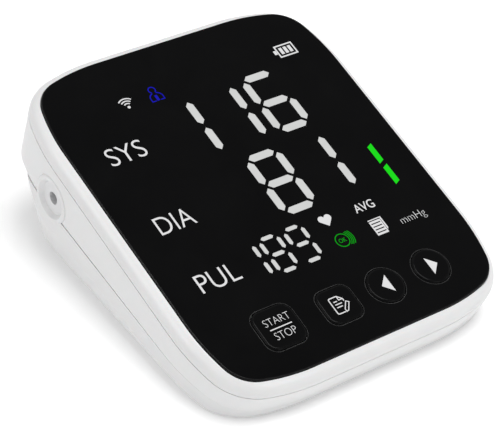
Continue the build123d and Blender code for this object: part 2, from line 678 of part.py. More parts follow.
with BuildPart() as bottom_cover:
    add(case_outside)
    add(port_boss.part)
    add(case_inside, mode=Mode.SUBTRACT)
    with BuildSketch(port_plane.offset(PORT_DISH)):
        Circle(PORT_BOSS_RADIUS)
    extrude(amount=SOCKET_FLANGE)
    # tongue that locates the top cover
    with BuildSketch(FACE.offset(-SEAM_DEPTH - SEAM_GAP / 2 - WALL)):
        add(case_outline(WALL - TONGUE_WIDTH))
        add(case_outline(WALL), mode=Mode.SUBTRACT)
    extrude(amount=WALL + SEAM_GAP / 2 + TONGUE_HEIGHT)
    # dished opening and the seat of the air socket
    with BuildSketch(port_plane):
        Circle(PORT_RIM_RADIUS)
    extrude(amount=PORT_DISH, taper=PORT_DISH_SLOPE, mode=Mode.SUBTRACT)
    with BuildSketch(port_plane):
        Circle(SOCKET_RADIUS)
    extrude(amount=PORT_DISH + SOCKET_FLANGE + WALL, mode=Mode.SUBTRACT)
    # battery bay
    with BuildSketch(Plane.XY.offset(BASE_Z)):
        with Locations(bay_centre):
            Rectangle(2 * (BAY_HALF_WIDTH + BAY_WALL), 2 * (BAY_HALF_LENGTH + BAY_WALL))
    extrude(amount=BAY_TOP + BAY_ROOF - BASE_Z)
    with BuildSketch(Plane.XY.offset(BASE_Z)):
        with Locations(bay_centre):
            Rectangle(2 * BAY_HALF_WIDTH, 2 * BAY_HALF_LENGTH)
    extrude(amount=BAY_TOP - BASE_Z, mode=Mode.SUBTRACT)
    with BuildSketch(Plane.XY.offset(BASE_Z)):
        with Locations(door_centre):
            Rectangle(2 * (DOOR_HALF_WIDTH + DOOR_GAP), DOOR_REAR - DOOR_FRONT + 2 * DOOR_GAP)
        with Locations((0, DOOR_REAR)):
            Circle(THUMB_RADIUS)
    extrude(amount=DOOR_THICKNESS + DOOR_TAB_GAP / 2, mode=Mode.SUBTRACT)
    for slot_bottom, slot_front in (
        (DOOR_TOP, DOOR_FRONT - DOOR_GAP),
        (TAB_BOTTOM - DOOR_TAB_GAP, DOOR_FRONT - DOOR_TAB_REACH - TAB_SLOT_GAP),
    ):
        with BuildSketch(Plane.XY.offset(slot_bottom)):
            with Locations(*[(x, slot_front) for x, y in tab_places]):
                Rectangle(
                    DOOR_TAB_WIDTH + 2 * TAB_SLOT_GAP,
                    BAY_FRONT - slot_front,
                    align=(Align.CENTER, Align.MIN),
                )
        extrude(amount=TAB_SLOT_TOP - slot_bottom, mode=Mode.SUBTRACT)
    # screw posts, with a sunk seat for each head
    add(screw_posts.part)
    with BuildSketch(FACE.offset(-CASE_BOSS_DEPTH)):
        with Locations(*CASE_SCREW_POINTS):
            Circle(CASE_SCREW_RADIUS + HOLE_CLEARANCE)
    extrude(amount=-CASE_SCREW_GRIP, mode=Mode.SUBTRACT)
    with BuildSketch(FACE.offset(-CASE_SEAT_DEPTH)):
        with Locations(*CASE_SCREW_POINTS):
            Circle(CASE_HEAD_RADIUS + HOLE_CLEARANCE)
    extrude(amount=-RIGHT_THROUGH, mode=Mode.SUBTRACT)
    # seats of the feet
    with BuildSketch(Plane.XY.offset(BASE_Z)):
        with Locations(*FOOT_POINTS):
            Circle(FOOT_RADIUS)
    extrude(amount=FOOT_SUNK, mode=Mode.SUBTRACT)
    # opening for the power socket
    with BuildSketch(usb_plane.offset(-USB_SINK - RIM_WIDTH)):
        RectangleRounded(
            USB_WIDTH + 2 * HOLE_CLEARANCE, USB_HEIGHT + 2 * HOLE_CLEARANCE, USB_CORNER + HOLE_CLEARANCE
        )
    extrude(amount=USB_SINK + RIM_WIDTH + 2 * WALL, mode=Mode.SUBTRACT)
save(bottom_cover, "bottom_cover")

with BuildPart() as case_screws:
    with BuildSketch(FACE.offset(-CASE_SEAT_DEPTH - CASE_HEAD_HEIGHT)):
        with Locations(*CASE_SCREW_POINTS):
            Circle(CASE_HEAD_RADIUS)
    extrude(amount=CASE_HEAD_HEIGHT)
    with BuildSketch(FACE.offset(-CASE_SEAT_DEPTH)):
        with Locations(*CASE_SCREW_POINTS):
            Circle(CASE_SCREW_RADIUS)
    extrude(amount=CASE_SCREW_GRIP + CASE_SCREW_BITE)
    with BuildSketch(FACE.offset(-CASE_SEAT_DEPTH - CASE_HEAD_HEIGHT)):
        with Locations(*CASE_SCREW_POINTS):
            Rectangle(CASE_HEAD_RADIUS * CROSS_SPAN, CASE_CROSS_WIDTH)
            Rectangle(CASE_CROSS_WIDTH, CASE_HEAD_RADIUS * CROSS_SPAN)
    extrude(amount=CASE_HEAD_HEIGHT * CROSS_DEPTH, mode=Mode.SUBTRACT)
save(case_screws, "case_screws")

with BuildPart() as rubber_feet:
    with BuildSketch(Plane.XY):
        with Locations(*FOOT_POINTS):
            Circle(FOOT_RADIUS)
    extrude(amount=FOOT_PROUD + FOOT_SUNK)
    fillet(rubber_feet.edges().group_by(Axis.Z)[0], FOOT_PROUD / 2)
save(rubber_feet, "rubber_feet")

# ---------------------------------------------------------------- battery door, cells and contacts
with BuildPart() as battery_door:
    with BuildSketch(Plane.XY.offset(BASE_Z)):
        with Locations(door_centre):
            Rectangle(2 * DOOR_HALF_WIDTH, DOOR_REAR - DOOR_FRONT)
    extrude(amount=DOOR_THICKNESS)
    fillet(battery_door.edges().filter_by(Axis.X).group_by(Axis.Y)[0], DOOR_HINGE_ROUND)
    # ribs that the cells rest on
    with BuildSketch(Plane.XY.offset(DOOR_TOP)):
        with Locations((0, BAY_FRONT / 2), (0, BAY_REAR / 2)):
            Rectangle(2 * (BAY_HALF_WIDTH - DOOR_LAP), RIB_WIDTH)
    extrude(amount=CELL_REST - BAY_MARGIN / 2)
    # tabs that hold the front edge, over the floor of the case
    with BuildSketch(Plane.XY.offset(HINGE_Z)):
        with Locations(*tab_places):
            Rectangle(DOOR_TAB_WIDTH, DOOR_TAB_THICKNESS)
    extrude(amount=TAB_TOP - HINGE_Z)
    with BuildSketch(Plane.XY.offset(TAB_BOTTOM)):
        with Locations(*tab_places):
            Rectangle(
                DOOR_TAB_WIDTH,
                DOOR_THICKNESS / 2 + DOOR_TAB_REACH + DOOR_TAB_THICKNESS / 2,
                align=(Align.CENTER, Align.MAX),
            )
    extrude(amount=DOOR_TAB_THICKNESS)
    # slits either side of the latch tongue
    with BuildSketch(Plane.XY.offset(BASE_Z)):
        with Locations(*[(side * (LATCH_WIDTH + LATCH_SLOT) / 2, DOOR_REAR) for side in (-1, 1)]):
            Rectangle(LATCH_SLOT, LATCH_LENGTH, align=(Align.CENTER, Align.MAX))
    extrude(amount=DOOR_THICKNESS, mode=Mode.SUBTRACT)
save(battery_door, "battery_door")

cell_body_length = CELL_LENGTH - CELL_NUB_LENGTH
spring_room = BAY_SPARE_LENGTH - 2 * CONTACT_THICKNESS
# every other cell points the other way; nub_side is +1 where the nub is at the rear
cell_sides = [(x, 1 if i % 2 else -1) for i, x in enumerate(CELL_XS)]

with BuildPart() as battery_cells:
    for x, nub_side in cell_sides:
        nub_end = BAY_CENTRE_Y + nub_side * (BAY_HALF_LENGTH - CONTACT_THICKNESS)
        with BuildSketch(Plane(origin=(x, nub_end, CELL_Z), x_dir=(1, 0, 0), z_dir=(0, -nub_side, 0))):
            Circle(CELL_NUB_RADIUS)
        extrude(amount=CELL_NUB_LENGTH + cell_body_length / 2)
        shoulder = nub_end - nub_side * CELL_NUB_LENGTH
        with BuildSketch(Plane(origin=(x, shoulder, CELL_Z), x_dir=(1, 0, 0), z_dir=(0, -nub_side, 0))):
            Circle(CELL_RADIUS)
        extrude(amount=cell_body_length)
save(battery_cells, "battery_cells")

with BuildPart() as battery_contacts:
    for end_y, inward in ((BAY_FRONT, -1), (BAY_REAR, 1)):
        with BuildSketch(Plane(origin=(0, end_y, CELL_Z), x_dir=(1, 0, 0), z_dir=(0, -inward, 0))):
            with Locations(*[(x, 0) for x in CELL_XS]):
                Rectangle(CONTACT_WIDTH, CONTACT_HEIGHT)
        extrude(amount=CONTACT_THICKNESS)
save(battery_contacts, "battery_contacts")

with BuildPart() as battery_springs:
    for x, nub_side in cell_sides:
        foot_gap = CONTACT_THICKNESS + SPRING_WIRE_RADIUS + SPRING_END_GAP
        foot_y = BAY_CENTRE_Y - nub_side * (BAY_HALF_LENGTH - foot_gap)
        coil = Helix(
            pitch=SPRING_PITCH,
            height=spring_room - 2 * (SPRING_WIRE_RADIUS + SPRING_END_GAP),
            radius=SPRING_WIDE_RADIUS,
            center=(x, foot_y, CELL_Z),
            direction=(0, nub_side, 0),
            mode=Mode.PRIVATE,
        )
        with BuildSketch(Plane(origin=coil @ 0, z_dir=coil % 0)):
            Circle(SPRING_WIRE_RADIUS)
        sweep(path=coil, is_frenet=True)
save(battery_springs, "battery_springs")

# ---------------------------------------------------------------- air path
socket_face_x = port_face_x + PORT_DISH
socket_plane = port_plane.offset(PORT_DISH)
with BuildPart() as air_socket:
    with BuildSketch(socket_plane):
        Circle(SOCKET_RADIUS)
    extrude(amount=SOCKET_FLANGE)
    with BuildSketch(socket_plane):
        Circle(SOCKET_BARREL_RADIUS)
    extrude(amount=SOCKET_LENGTH)
    with BuildSketch(socket_plane):
        Circle(NIPPLE_RADIUS)
    extrude(amount=SOCKET_LENGTH + NIPPLE_LENGTH)
    with BuildSketch(socket_plane):
        Circle(SOCKET_BORE)
    extrude(amount=SOCKET_BORE_LENGTH, mode=Mode.SUBTRACT)
    with BuildSketch(socket_plane):
        Circle(NIPPLE_BORE)
    extrude(amount=SOCKET_LENGTH + NIPPLE_LENGTH, mode=Mode.SUBTRACT)
save(air_socket, "air_socket")

manifold_block = across(MANIFOLD_X - MANIFOLD_SIZE / 2, PUMP_Y, PUMP_DEPTH)
manifold_reach = MANIFOLD_SIZE + 2 * NIPPLE_LENGTH
with BuildPart() as air_manifold:
    with BuildSketch(manifold_block):
        Rectangle(MANIFOLD_SIZE, MANIFOLD_SIZE)
    extrude(amount=MANIFOLD_SIZE)
    fillet(air_manifold.edges().filter_by(Axis.X), MANIFOLD_EDGE)
    for hole_radius, build_mode in ((NIPPLE_RADIUS, Mode.ADD), (NIPPLE_BORE, Mode.SUBTRACT)):
        # across to the pump and the valve
        with BuildSketch(manifold_block.offset(-NIPPLE_LENGTH)):
            Circle(hole_radius)
        extrude(amount=manifold_reach, mode=build_mode)
        # up to the pressure sensor
        with BuildSketch(FACE.offset(-PUMP_DEPTH)):
            with Locations((MANIFOLD_X, PUMP_Y)):
                Circle(hole_radius)
        extrude(amount=MANIFOLD_SIZE / 2 + NIPPLE_LENGTH, mode=build_mode)
        # forwards to the air socket
        front_port = Plane(
            origin=FACE.from_local_coords((MANIFOLD_X, PUMP_Y, -PUMP_DEPTH)),
            x_dir=(1, 0, 0),
            z_dir=-FACE.y_dir,
        )
        with BuildSketch(front_port):
            Circle(hole_radius)
        extrude(amount=MANIFOLD_SIZE / 2 + NIPPLE_LENGTH, mode=build_mode)
save(air_manifold, "air_manifold")

nipple_tip_x = MANIFOLD_X + MANIFOLD_SIZE / 2 + NIPPLE_LENGTH
pump_tip_x = MOTOR_X - PUMP_BODY_LENGTH - DIAPHRAGM_THICKNESS - PUMP_HEAD_LENGTH - NIPPLE_LENGTH
valve_tip_x = VALVE_NEAR_X + NIPPLE_LENGTH
sensor_tip = BOARD_BACK + SENSOR_HEIGHT + NIPPLE_LENGTH
manifold_tip = PUMP_DEPTH - MANIFOLD_SIZE / 2 - NIPPLE_LENGTH
socket_tip_x = socket_face_x + SOCKET_LENGTH + NIPPLE_LENGTH
tube_end_y = PUMP_Y - MANIFOLD_SIZE / 2 - NIPPLE_LENGTH + TUBE_LAP
tube_points = [
    FACE.from_local_coords(point)
    for point in (
        (socket_tip_x - TUBE_LAP, PORT_Y, -PORT_DEPTH),
        (MANIFOLD_X, PORT_Y, -PORT_DEPTH),
        (MANIFOLD_X, tube_end_y - TUBE_LAP - TUBE_RUN_IN, -PUMP_DEPTH),
        (MANIFOLD_X, tube_end_y, -PUMP_DEPTH),
    )
]
with BuildPart() as air_tubes:
    # from the socket round to the manifold
    with BuildLine() as tube_route:
        FilletPolyline(*tube_points, radius=TUBE_BEND)
    with BuildSketch(Plane(origin=tube_points[0], z_dir=(1, 0, 0))):
        Circle(TUBE_RADIUS)
        Circle(NIPPLE_RADIUS, mode=Mode.SUBTRACT)
    sweep(path=tube_route.wires()[0])
    # manifold to pump, and manifold to valve
    with BuildSketch(across(nipple_tip_x - TUBE_LAP, PUMP_Y, PUMP_DEPTH)):
        Circle(TUBE_RADIUS)
        Circle(NIPPLE_RADIUS, mode=Mode.SUBTRACT)
    extrude(amount=pump_tip_x - nipple_tip_x + 2 * TUBE_LAP)
    with BuildSketch(across(valve_tip_x - TUBE_LAP, PUMP_Y, PUMP_DEPTH)):
        Circle(TUBE_RADIUS)
        Circle(NIPPLE_RADIUS, mode=Mode.SUBTRACT)
    extrude(amount=MANIFOLD_X - MANIFOLD_SIZE / 2 - NIPPLE_LENGTH - valve_tip_x + 2 * TUBE_LAP)
    # manifold up to the sensor
    with BuildSketch(FACE.offset(-manifold_tip - TUBE_LAP)):
        with Locations((MANIFOLD_X, PUMP_Y)):
            Circle(TUBE_RADIUS)
            Circle(NIPPLE_RADIUS, mode=Mode.SUBTRACT)
    extrude(amount=manifold_tip - sensor_tip + 2 * TUBE_LAP)
save(air_tubes, "air_tubes")

# ---------------------------------------------------------------- air pump
body_x = MOTOR_X - PUMP_BODY_LENGTH
head_x = body_x - DIAPHRAGM_THICKNESS - PUMP_HEAD_LENGTH
with BuildPart() as pump_motor:
    with BuildSketch(across(MOTOR_X, PUMP_Y, PUMP_DEPTH)):
        Circle(MOTOR_RADIUS)
    extrude(amount=MOTOR_LENGTH)
    fillet(pump_motor.edges().filter_by(GeomType.CIRCLE), MOTOR_EDGE)
    with BuildSketch(across(MOTOR_X, PUMP_Y, PUMP_DEPTH)):
        Circle(SHAFT_RADIUS + SHAFT_CLEARANCE)
    extrude(amount=SHAFT_IN_MOTOR + SHAFT_END_GAP, mode=Mode.SUBTRACT)
save(pump_motor, "pump_motor")

with BuildPart() as pump_body:
    with BuildSketch(across(body_x, PUMP_Y, PUMP_DEPTH)):
        RectangleRounded(PUMP_BODY_SIZE, PUMP_BODY_SIZE, PUMP_CORNER)
        Circle(PUMP_CAVITY_RADIUS, mode=Mode.SUBTRACT)
    extrude(amount=PUMP_BODY_LENGTH)
save(pump_body, "pump_body")

with BuildPart() as pump_diaphragm:
    with BuildSketch(across(body_x - DIAPHRAGM_THICKNESS, PUMP_Y, PUMP_DEPTH)):
        RectangleRounded(PUMP_BODY_SIZE, PUMP_BODY_SIZE, PUMP_CORNER)
    extrude(amount=DIAPHRAGM_THICKNESS)
save(pump_diaphragm, "pump_diaphragm")

with BuildPart() as pump_head:
    with BuildSketch(across(head_x, PUMP_Y, PUMP_DEPTH)):
        RectangleRounded(PUMP_BODY_SIZE, PUMP_BODY_SIZE, PUMP_CORNER)
    extrude(amount=PUMP_HEAD_LENGTH)
    with BuildSketch(across(pump_tip_x, PUMP_Y, PUMP_DEPTH)):
        Circle(NIPPLE_RADIUS)
    extrude(amount=NIPPLE_LENGTH)
    with BuildSketch(across(pump_tip_x, PUMP_Y, PUMP_DEPTH)):
        Circle(NIPPLE_BORE)
    extrude(amount=NIPPLE_LENGTH + PUMP_HEAD_LENGTH, mode=Mode.SUBTRACT)
save(pump_head, "pump_head")

with BuildPart() as motor_shaft:
    with BuildSketch(across(CRANK_X - CRANK_THICKNESS, PUMP_Y, PUMP_DEPTH)):
        Circle(SHAFT_RADIUS)
    extrude(amount=MOTOR_X + SHAFT_IN_MOTOR - CRANK_X + CRANK_THICKNESS)
save(motor_shaft, "motor_shaft")

with BuildPart() as pump_crank:
    with BuildSketch(across(CRANK_X - CRANK_THICKNESS, PUMP_Y, PUMP_DEPTH)):
        Circle(CRANK_RADIUS)
        Circle(SHAFT_RADIUS, mode=Mode.SUBTRACT)
    extrude(amount=CRANK_THICKNESS)
    with BuildSketch(across(CRANK_X - CRANK_THICKNESS - CRANK_PIN_LENGTH, PUMP_Y, PUMP_DEPTH)):
        with Locations((CRANK_OFFSET, 0)):
            Circle(SHAFT_RADIUS)
    extrude(amount=CRANK_PIN_LENGTH)
save(pump_crank, "pump_crank")

floor_z = BASE_Z + WALL
with BuildPart() as pump_saddle:
    with BuildSketch(Plane.XY.offset(floor_z)):
        with Locations((MOTOR_X + MOTOR_LENGTH / 2, PUMP_AXIS.Y)):
            Rectangle(SADDLE_LENGTH, 2 * SADDLE_HALF_WIDTH)
    extrude(amount=PUMP_AXIS.Z - floor_z - MOTOR_RADIUS / 2)
    with BuildSketch(across(MOTOR_X, PUMP_Y, PUMP_DEPTH)):
        Circle(MOTOR_RADIUS + SADDLE_GAP)
    extrude(amount=MOTOR_LENGTH, mode=Mode.SUBTRACT)
save(pump_saddle, "pump_saddle")

# ---------------------------------------------------------------- exhaust valve
valve_far_x = VALVE_NEAR_X - VALVE_SIZE
with BuildPart() as valve_frame:
    with BuildSketch(across(valve_far_x, PUMP_Y, PUMP_DEPTH)):
        Rectangle(VALVE_SIZE, VALVE_SIZE)
    extrude(amount=VALVE_SIZE)
    with BuildSketch(FACE.offset(-PUMP_DEPTH)):
        with Locations(((VALVE_NEAR_X + valve_far_x) / 2, PUMP_Y)):
            Rectangle(VALVE_SIZE - 2 * VALVE_WALL, VALVE_SIZE)
    extrude(amount=VALVE_SIZE / 2 - VALVE_WALL, both=True, mode=Mode.SUBTRACT)
    with BuildSketch(FACE.offset(-PUMP_DEPTH)):
        with Locations(((VALVE_NEAR_X + valve_far_x) / 2, PUMP_Y)):
            Circle(VALVE_PIN_RADIUS + VALVE_PIN_CLEARANCE)
    extrude(amount=VALVE_SIZE, mode=Mode.SUBTRACT)
    with BuildSketch(across(VALVE_NEAR_X, PUMP_Y, PUMP_DEPTH)):
        Circle(NIPPLE_RADIUS)
    extrude(amount=NIPPLE_LENGTH)
    with BuildSketch(across(VALVE_NEAR_X - VALVE_WALL, PUMP_Y, PUMP_DEPTH)):
        Circle(NIPPLE_BORE)
    extrude(amount=NIPPLE_LENGTH + VALVE_WALL, mode=Mode.SUBTRACT)
save(valve_frame, "valve_frame")

valve_x = (VALVE_NEAR_X + valve_far_x) / 2
coil_half = VALVE_SIZE / 2 - VALVE_WALL
with BuildPart() as valve_coil:
    with BuildSketch(FACE.offset(-PUMP_DEPTH)):
        with Locations((valve_x, PUMP_Y)):
            Circle(COIL_RADIUS)
            Circle(VALVE_PIN_RADIUS + VALVE_PIN_CLEARANCE, mode=Mode.SUBTRACT)
    extrude(amount=coil_half, both=True)
save(valve_coil, "valve_coil")

pin_bottom = PUMP_DEPTH + coil_half - VALVE_TRAVEL - VALVE_PIN_END_GAP
pin_head = PUMP_DEPTH - VALVE_SIZE / 2 - VALVE_SPRING_LENGTH
with BuildPart() as valve_pin:
    with BuildSketch(FACE.offset(-pin_bottom)):
        with Locations((valve_x, PUMP_Y)):
            Circle(VALVE_PIN_RADIUS)
    extrude(amount=pin_bottom - pin_head)
    with BuildSketch(FACE.offset(-pin_head)):
        with Locations((valve_x, PUMP_Y)):
            Circle(VALVE_HEAD_RADIUS)
    extrude(amount=VALVE_HEAD_HEIGHT)
save(valve_pin, "valve_pin")

spring_foot = FACE.from_local_coords(
    (valve_x, PUMP_Y, -(PUMP_DEPTH - VALVE_SIZE / 2 - VALVE_SPRING_WIRE - SPRING_END_GAP))
)
with BuildPart() as valve_spring:
    valve_helix = Helix(
        pitch=VALVE_SPRING_PITCH,
        height=VALVE_SPRING_LENGTH - 2 * (VALVE_SPRING_WIRE + SPRING_END_GAP),
        radius=VALVE_PIN_RADIUS + VALVE_SPRING_WIRE + VALVE_SPRING_CLEARANCE,
        center=spring_foot,
        direction=FACE.z_dir,
        mode=Mode.PRIVATE,
    )
    with BuildSketch(Plane(origin=valve_helix @ 0, z_dir=valve_helix % 0)):
        Circle(VALVE_SPRING_WIRE)
    sweep(path=valve_helix, is_frenet=True)
save(valve_spring, "valve_spring")
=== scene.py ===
"""Looks of an upper arm blood pressure monitor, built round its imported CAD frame.

Metres, +X to the user's right, +Y to the rear, +Z up, origin on the table under the case.
Places on the sloping face are given in millimetres from its middle: x to the right, v up the slope.
"""
import json
import math
import random

import bmesh
import bpy
from mathutils import Matrix, Vector


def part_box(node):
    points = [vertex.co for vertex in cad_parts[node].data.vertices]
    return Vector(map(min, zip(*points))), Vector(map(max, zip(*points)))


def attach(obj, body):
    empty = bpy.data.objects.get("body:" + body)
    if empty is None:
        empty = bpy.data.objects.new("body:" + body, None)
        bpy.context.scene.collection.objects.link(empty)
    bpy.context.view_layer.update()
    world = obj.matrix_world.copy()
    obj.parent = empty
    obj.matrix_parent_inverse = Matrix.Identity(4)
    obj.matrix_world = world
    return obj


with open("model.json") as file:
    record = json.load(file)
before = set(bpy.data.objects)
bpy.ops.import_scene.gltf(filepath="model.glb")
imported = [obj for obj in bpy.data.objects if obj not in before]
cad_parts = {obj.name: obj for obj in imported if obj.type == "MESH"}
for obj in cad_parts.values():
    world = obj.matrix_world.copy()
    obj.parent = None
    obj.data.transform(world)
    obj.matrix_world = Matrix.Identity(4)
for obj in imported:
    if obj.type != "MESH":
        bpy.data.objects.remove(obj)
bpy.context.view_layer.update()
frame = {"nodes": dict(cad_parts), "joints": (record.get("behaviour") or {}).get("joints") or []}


# ---------------------------------------------------------------- case shells
# Two injection-moulded ABS shells with a fine spark-eroded satin skin. The upper one
# is a rounded rim round the panel; the lower one is the side band and the belly.
def add_node(tree, kind, values=None):
    """A new shader or geometry node, with its constant inputs set."""
    node = tree.nodes.new(kind)
    for socket, value in (values or {}).items():
        node.inputs[socket].default_value = value
    return node


def shader_group(name, inputs, output):
    """An empty shader group with number and vector inputs and one output."""
    group = bpy.data.node_groups.new(name, "ShaderNodeTree")
    for socket, kind, value in inputs:
        made = group.interface.new_socket(socket, in_out="INPUT", socket_type=kind)
        if value is not None:
            made.default_value = value
    group.interface.new_socket(output[0], in_out="OUTPUT", socket_type=output[1])
    return group, group.nodes.new("NodeGroupInput"), group.nodes.new("NodeGroupOutput")


def make_moulded_skin():
    """Group: the slightly pebbled skin of a moulding, as a normal."""
    group, given, result = shader_group(
        "moulded_skin",
        [
            ("Vector", "NodeSocketVector", None),
            ("Scale", "NodeSocketFloat", 2600.0),
            ("Strength", "NodeSocketFloat", 0.2),
            ("Depth", "NodeSocketFloat", 0.00003),
        ],
        ("Normal", "NodeSocketVector"),
    )
    pebbles = add_node(group, "ShaderNodeTexNoise", {"Detail": 2.0, "Roughness": 0.45})
    waves = add_node(group, "ShaderNodeTexNoise", {"Scale": 55.0, "Detail": 1.0})
    both = add_node(group, "ShaderNodeMath")
    both.operation = "MULTIPLY_ADD"
    both.inputs[1].default_value = 1.6
    bump = add_node(group, "ShaderNodeBump")
    group.links.new(given.outputs["Vector"], pebbles.inputs["Vector"])
    group.links.new(given.outputs["Vector"], waves.inputs["Vector"])
    group.links.new(given.outputs["Scale"], pebbles.inputs["Scale"])
    group.links.new(waves.outputs["Fac"], both.inputs[0])
    group.links.new(pebbles.outputs["Fac"], both.inputs[2])
    group.links.new(given.outputs["Strength"], bump.inputs["Strength"])
    group.links.new(given.outputs["Depth"], bump.inputs["Distance"])
    group.links.new(both.outputs["Value"], bump.inputs["Height"])
    group.links.new(bump.outputs["Normal"], result.inputs["Normal"])
    return group


def make_handled_patches():
    """Group: broad soft patches where a surface has been wiped or handled, 0 to 1."""
    group, given, result = shader_group(
        "handled_patches",
        [("Vector", "NodeSocketVector", None), ("Scale", "NodeSocketFloat", 70.0)],
        ("Mask", "NodeSocketFloat"),
    )
    broad = add_node(group, "ShaderNodeTexNoise", {"Detail": 4.0, "Roughness": 0.6, "Distortion": 0.4})
    spread = add_node(group, "ShaderNodeMapRange", {"From Min": 0.35, "From Max": 0.68})
    group.links.new(given.outputs["Vector"], broad.inputs["Vector"])
    group.links.new(given.outputs["Scale"], broad.inputs["Scale"])
    group.links.new(broad.outputs["Fac"], spread.inputs["Value"])
    group.links.new(spread.outputs["Result"], result.inputs["Mask"])
    return group


def make_rubbed_edges():
    """Group: the outer corners of a piece, where it is rubbed, 0 to 1."""
    group, given, result = shader_group(
        "rubbed_edges",
        [("Radius", "NodeSocketFloat", 0.0006), ("Vector", "NodeSocketVector", None)],
        ("Mask", "NodeSocketFloat"),
    )
    rounded = add_node(group, "ShaderNodeBevel")
    rounded.samples = 4
    surface = add_node(group, "ShaderNodeNewGeometry")
    alike = add_node(group, "ShaderNodeVectorMath")
    alike.operation = "DOT_PRODUCT"
    edge = add_node(group, "ShaderNodeMapRange", {"From Min": 0.995, "From Max": 0.9})
    broken = add_node(group, "ShaderNodeTexNoise", {"Scale": 900.0, "Detail": 3.0})
    product = add_node(group, "ShaderNodeMath")
    product.operation = "MULTIPLY"
    group.links.new(given.outputs["Radius"], rounded.inputs["Radius"])
    group.links.new(rounded.outputs["Normal"], alike.inputs[0])
    group.links.new(surface.outputs["Normal"], alike.inputs[1])
    group.links.new(alike.outputs["Value"], edge.inputs["Value"])
    group.links.new(given.outputs["Vector"], broken.inputs["Vector"])
    group.links.new(edge.outputs["Result"], product.inputs[0])
    group.links.new(broken.outputs["Fac"], product.inputs[1])
    group.links.new(product.outputs["Value"], result.inputs["Mask"])
    return group


moulded_skin = make_moulded_skin()
handled_patches = make_handled_patches()
rubbed_edges = make_rubbed_edges()


def use_group(tree, group, coordinates, values=None):
    """A group node fed with the object's own coordinates."""
    node = tree.nodes.new("ShaderNodeGroup")
    node.node_tree = group
    for socket, value in (values or {}).items():
        node.inputs[socket].default_value = value
    tree.links.new(coordinates.outputs["Object"], node.inputs["Vector"])
    return node


def mixed_colour(tree, mask, first, second):
    """The colour socket that goes from the first colour to the second as the mask rises."""
    mix = tree.nodes.new("ShaderNodeMix")
    mix.data_type = "RGBA"
    for socket, colour in (("A_Color", first), ("B_Color", second)):
        target = next(s for s in mix.inputs if s.identifier == socket)
        if hasattr(colour, "is_output"):
            tree.links.new(colour, target)
        else:
            target.default_value = (*colour, 1.0)
    tree.links.new(mask, mix.inputs["Factor"])
    return next(s for s in mix.outputs if s.identifier == "Result_Color")


def moulded(name, colour, edge_colour, roughness, skin_scale, skin_strength, gloss=0.5):
    """A moulded plastic or rubber: skin, handled patches and rubbed edges."""
    material = bpy.data.materials.new(name)
    material.use_nodes = True
    tree = material.node_tree
    shader = tree.nodes["Principled BSDF"]
    places = tree.nodes.new("ShaderNodeTexCoord")
    skin = use_group(tree, moulded_skin, places, {"Scale": skin_scale, "Strength": skin_strength})
    patches = use_group(tree, handled_patches, places)
    edges = use_group(tree, rubbed_edges, places)
    shade = tuple(c * 0.97 for c in colour)
    body = mixed_colour(tree, patches.outputs["Mask"], colour, shade)
    tree.links.new(mixed_colour(tree, edges.outputs["Mask"], body, edge_colour), shader.inputs["Base Color"])
    polish = add_node(tree, "ShaderNodeMapRange", {"To Min": roughness, "To Max": roughness * 0.82})
    tree.links.new(patches.outputs["Mask"], polish.inputs["Value"])
    tree.links.new(polish.outputs["Result"], shader.inputs["Roughness"])
    tree.links.new(skin.outputs["Normal"], shader.inputs["Normal"])
    shader.inputs["Specular IOR Level"].default_value = gloss
    return material


def clad(material, *names):
    """Gives CAD nodes their finish."""
    for name in names:
        slots = frame["nodes"][name].data.materials
        slots.clear()
        slots.append(material)


def let_light_in(material, weight, depth):
    """Light sinks a little way into the piece."""
    shader = material.node_tree.nodes["Principled BSDF"]
    shader.inputs["Subsurface Weight"].default_value = weight
    shader.inputs["Subsurface Scale"].default_value = depth


white_shell = moulded("white_shell", (0.74, 0.74, 0.742), (0.77, 0.77, 0.77), 0.36, 2600.0, 0.12)
let_light_in(white_shell, 0.06, 0.001)
clad(white_shell, "top_cover", "bottom_cover", "battery_door")

# ---------------------------------------------------------------- front panel
# One smoked acrylic window covers the whole face. It is dead flat and glossy, with
# the faintest wipe marks; its rounded edge is coloured light grey, a painted highlight, and given more
# specular.
panel_black = bpy.data.materials.new("panel_black")
panel_black.use_nodes = True
panel_tree = panel_black.node_tree
panel_shader = panel_tree.nodes["Principled BSDF"]
panel_places = panel_tree.nodes.new("ShaderNodeTexCoord")
wiped = use_group(panel_tree, handled_patches, panel_places, {"Scale": 45.0})
panel_polish = add_node(panel_tree, "ShaderNodeMapRange", {"To Min": 0.07, "To Max": 0.11})
hairlines = add_node(panel_tree, "ShaderNodeTexNoise", {"Scale": 420.0, "Detail": 5.0, "Distortion": 2.0})
panel_bump = add_node(panel_tree, "ShaderNodeBump", {"Strength": 0.02, "Distance": 0.00001})
panel_tree.links.new(wiped.outputs["Mask"], panel_polish.inputs["Value"])
panel_tree.links.new(panel_polish.outputs["Result"], panel_shader.inputs["Roughness"])
panel_tree.links.new(panel_places.outputs["Object"], hairlines.inputs["Vector"])
panel_tree.links.new(hairlines.outputs["Fac"], panel_bump.inputs["Height"])
panel_tree.links.new(panel_bump.outputs["Normal"], panel_shader.inputs["Normal"])
SMOKED = (0.0026, 0.0026, 0.0028)
SMOKED_WIPED = (0.0034, 0.0034, 0.0036)
panel_colour = mixed_colour(panel_tree, wiped.outputs["Mask"], SMOKED, SMOKED_WIPED)
# painted highlight: the panel's rounded edge is coloured light grey and given more specular
edge_highlight_mask = use_group(panel_tree, rubbed_edges, panel_places, {"Radius": 0.0004})
edge_colour = mixed_colour(panel_tree, edge_highlight_mask.outputs["Mask"], panel_colour, (0.12, 0.12, 0.12))
panel_tree.links.new(edge_colour, panel_shader.inputs["Base Color"])
edge_gloss = add_node(panel_tree, "ShaderNodeMapRange", {"To Min": 0.05, "To Max": 0.9})
panel_tree.links.new(edge_highlight_mask.outputs["Mask"], edge_gloss.inputs["Value"])
panel_tree.links.new(edge_gloss.outputs["Result"], panel_shader.inputs["Specular IOR Level"])
clad(panel_black, "front_panel")

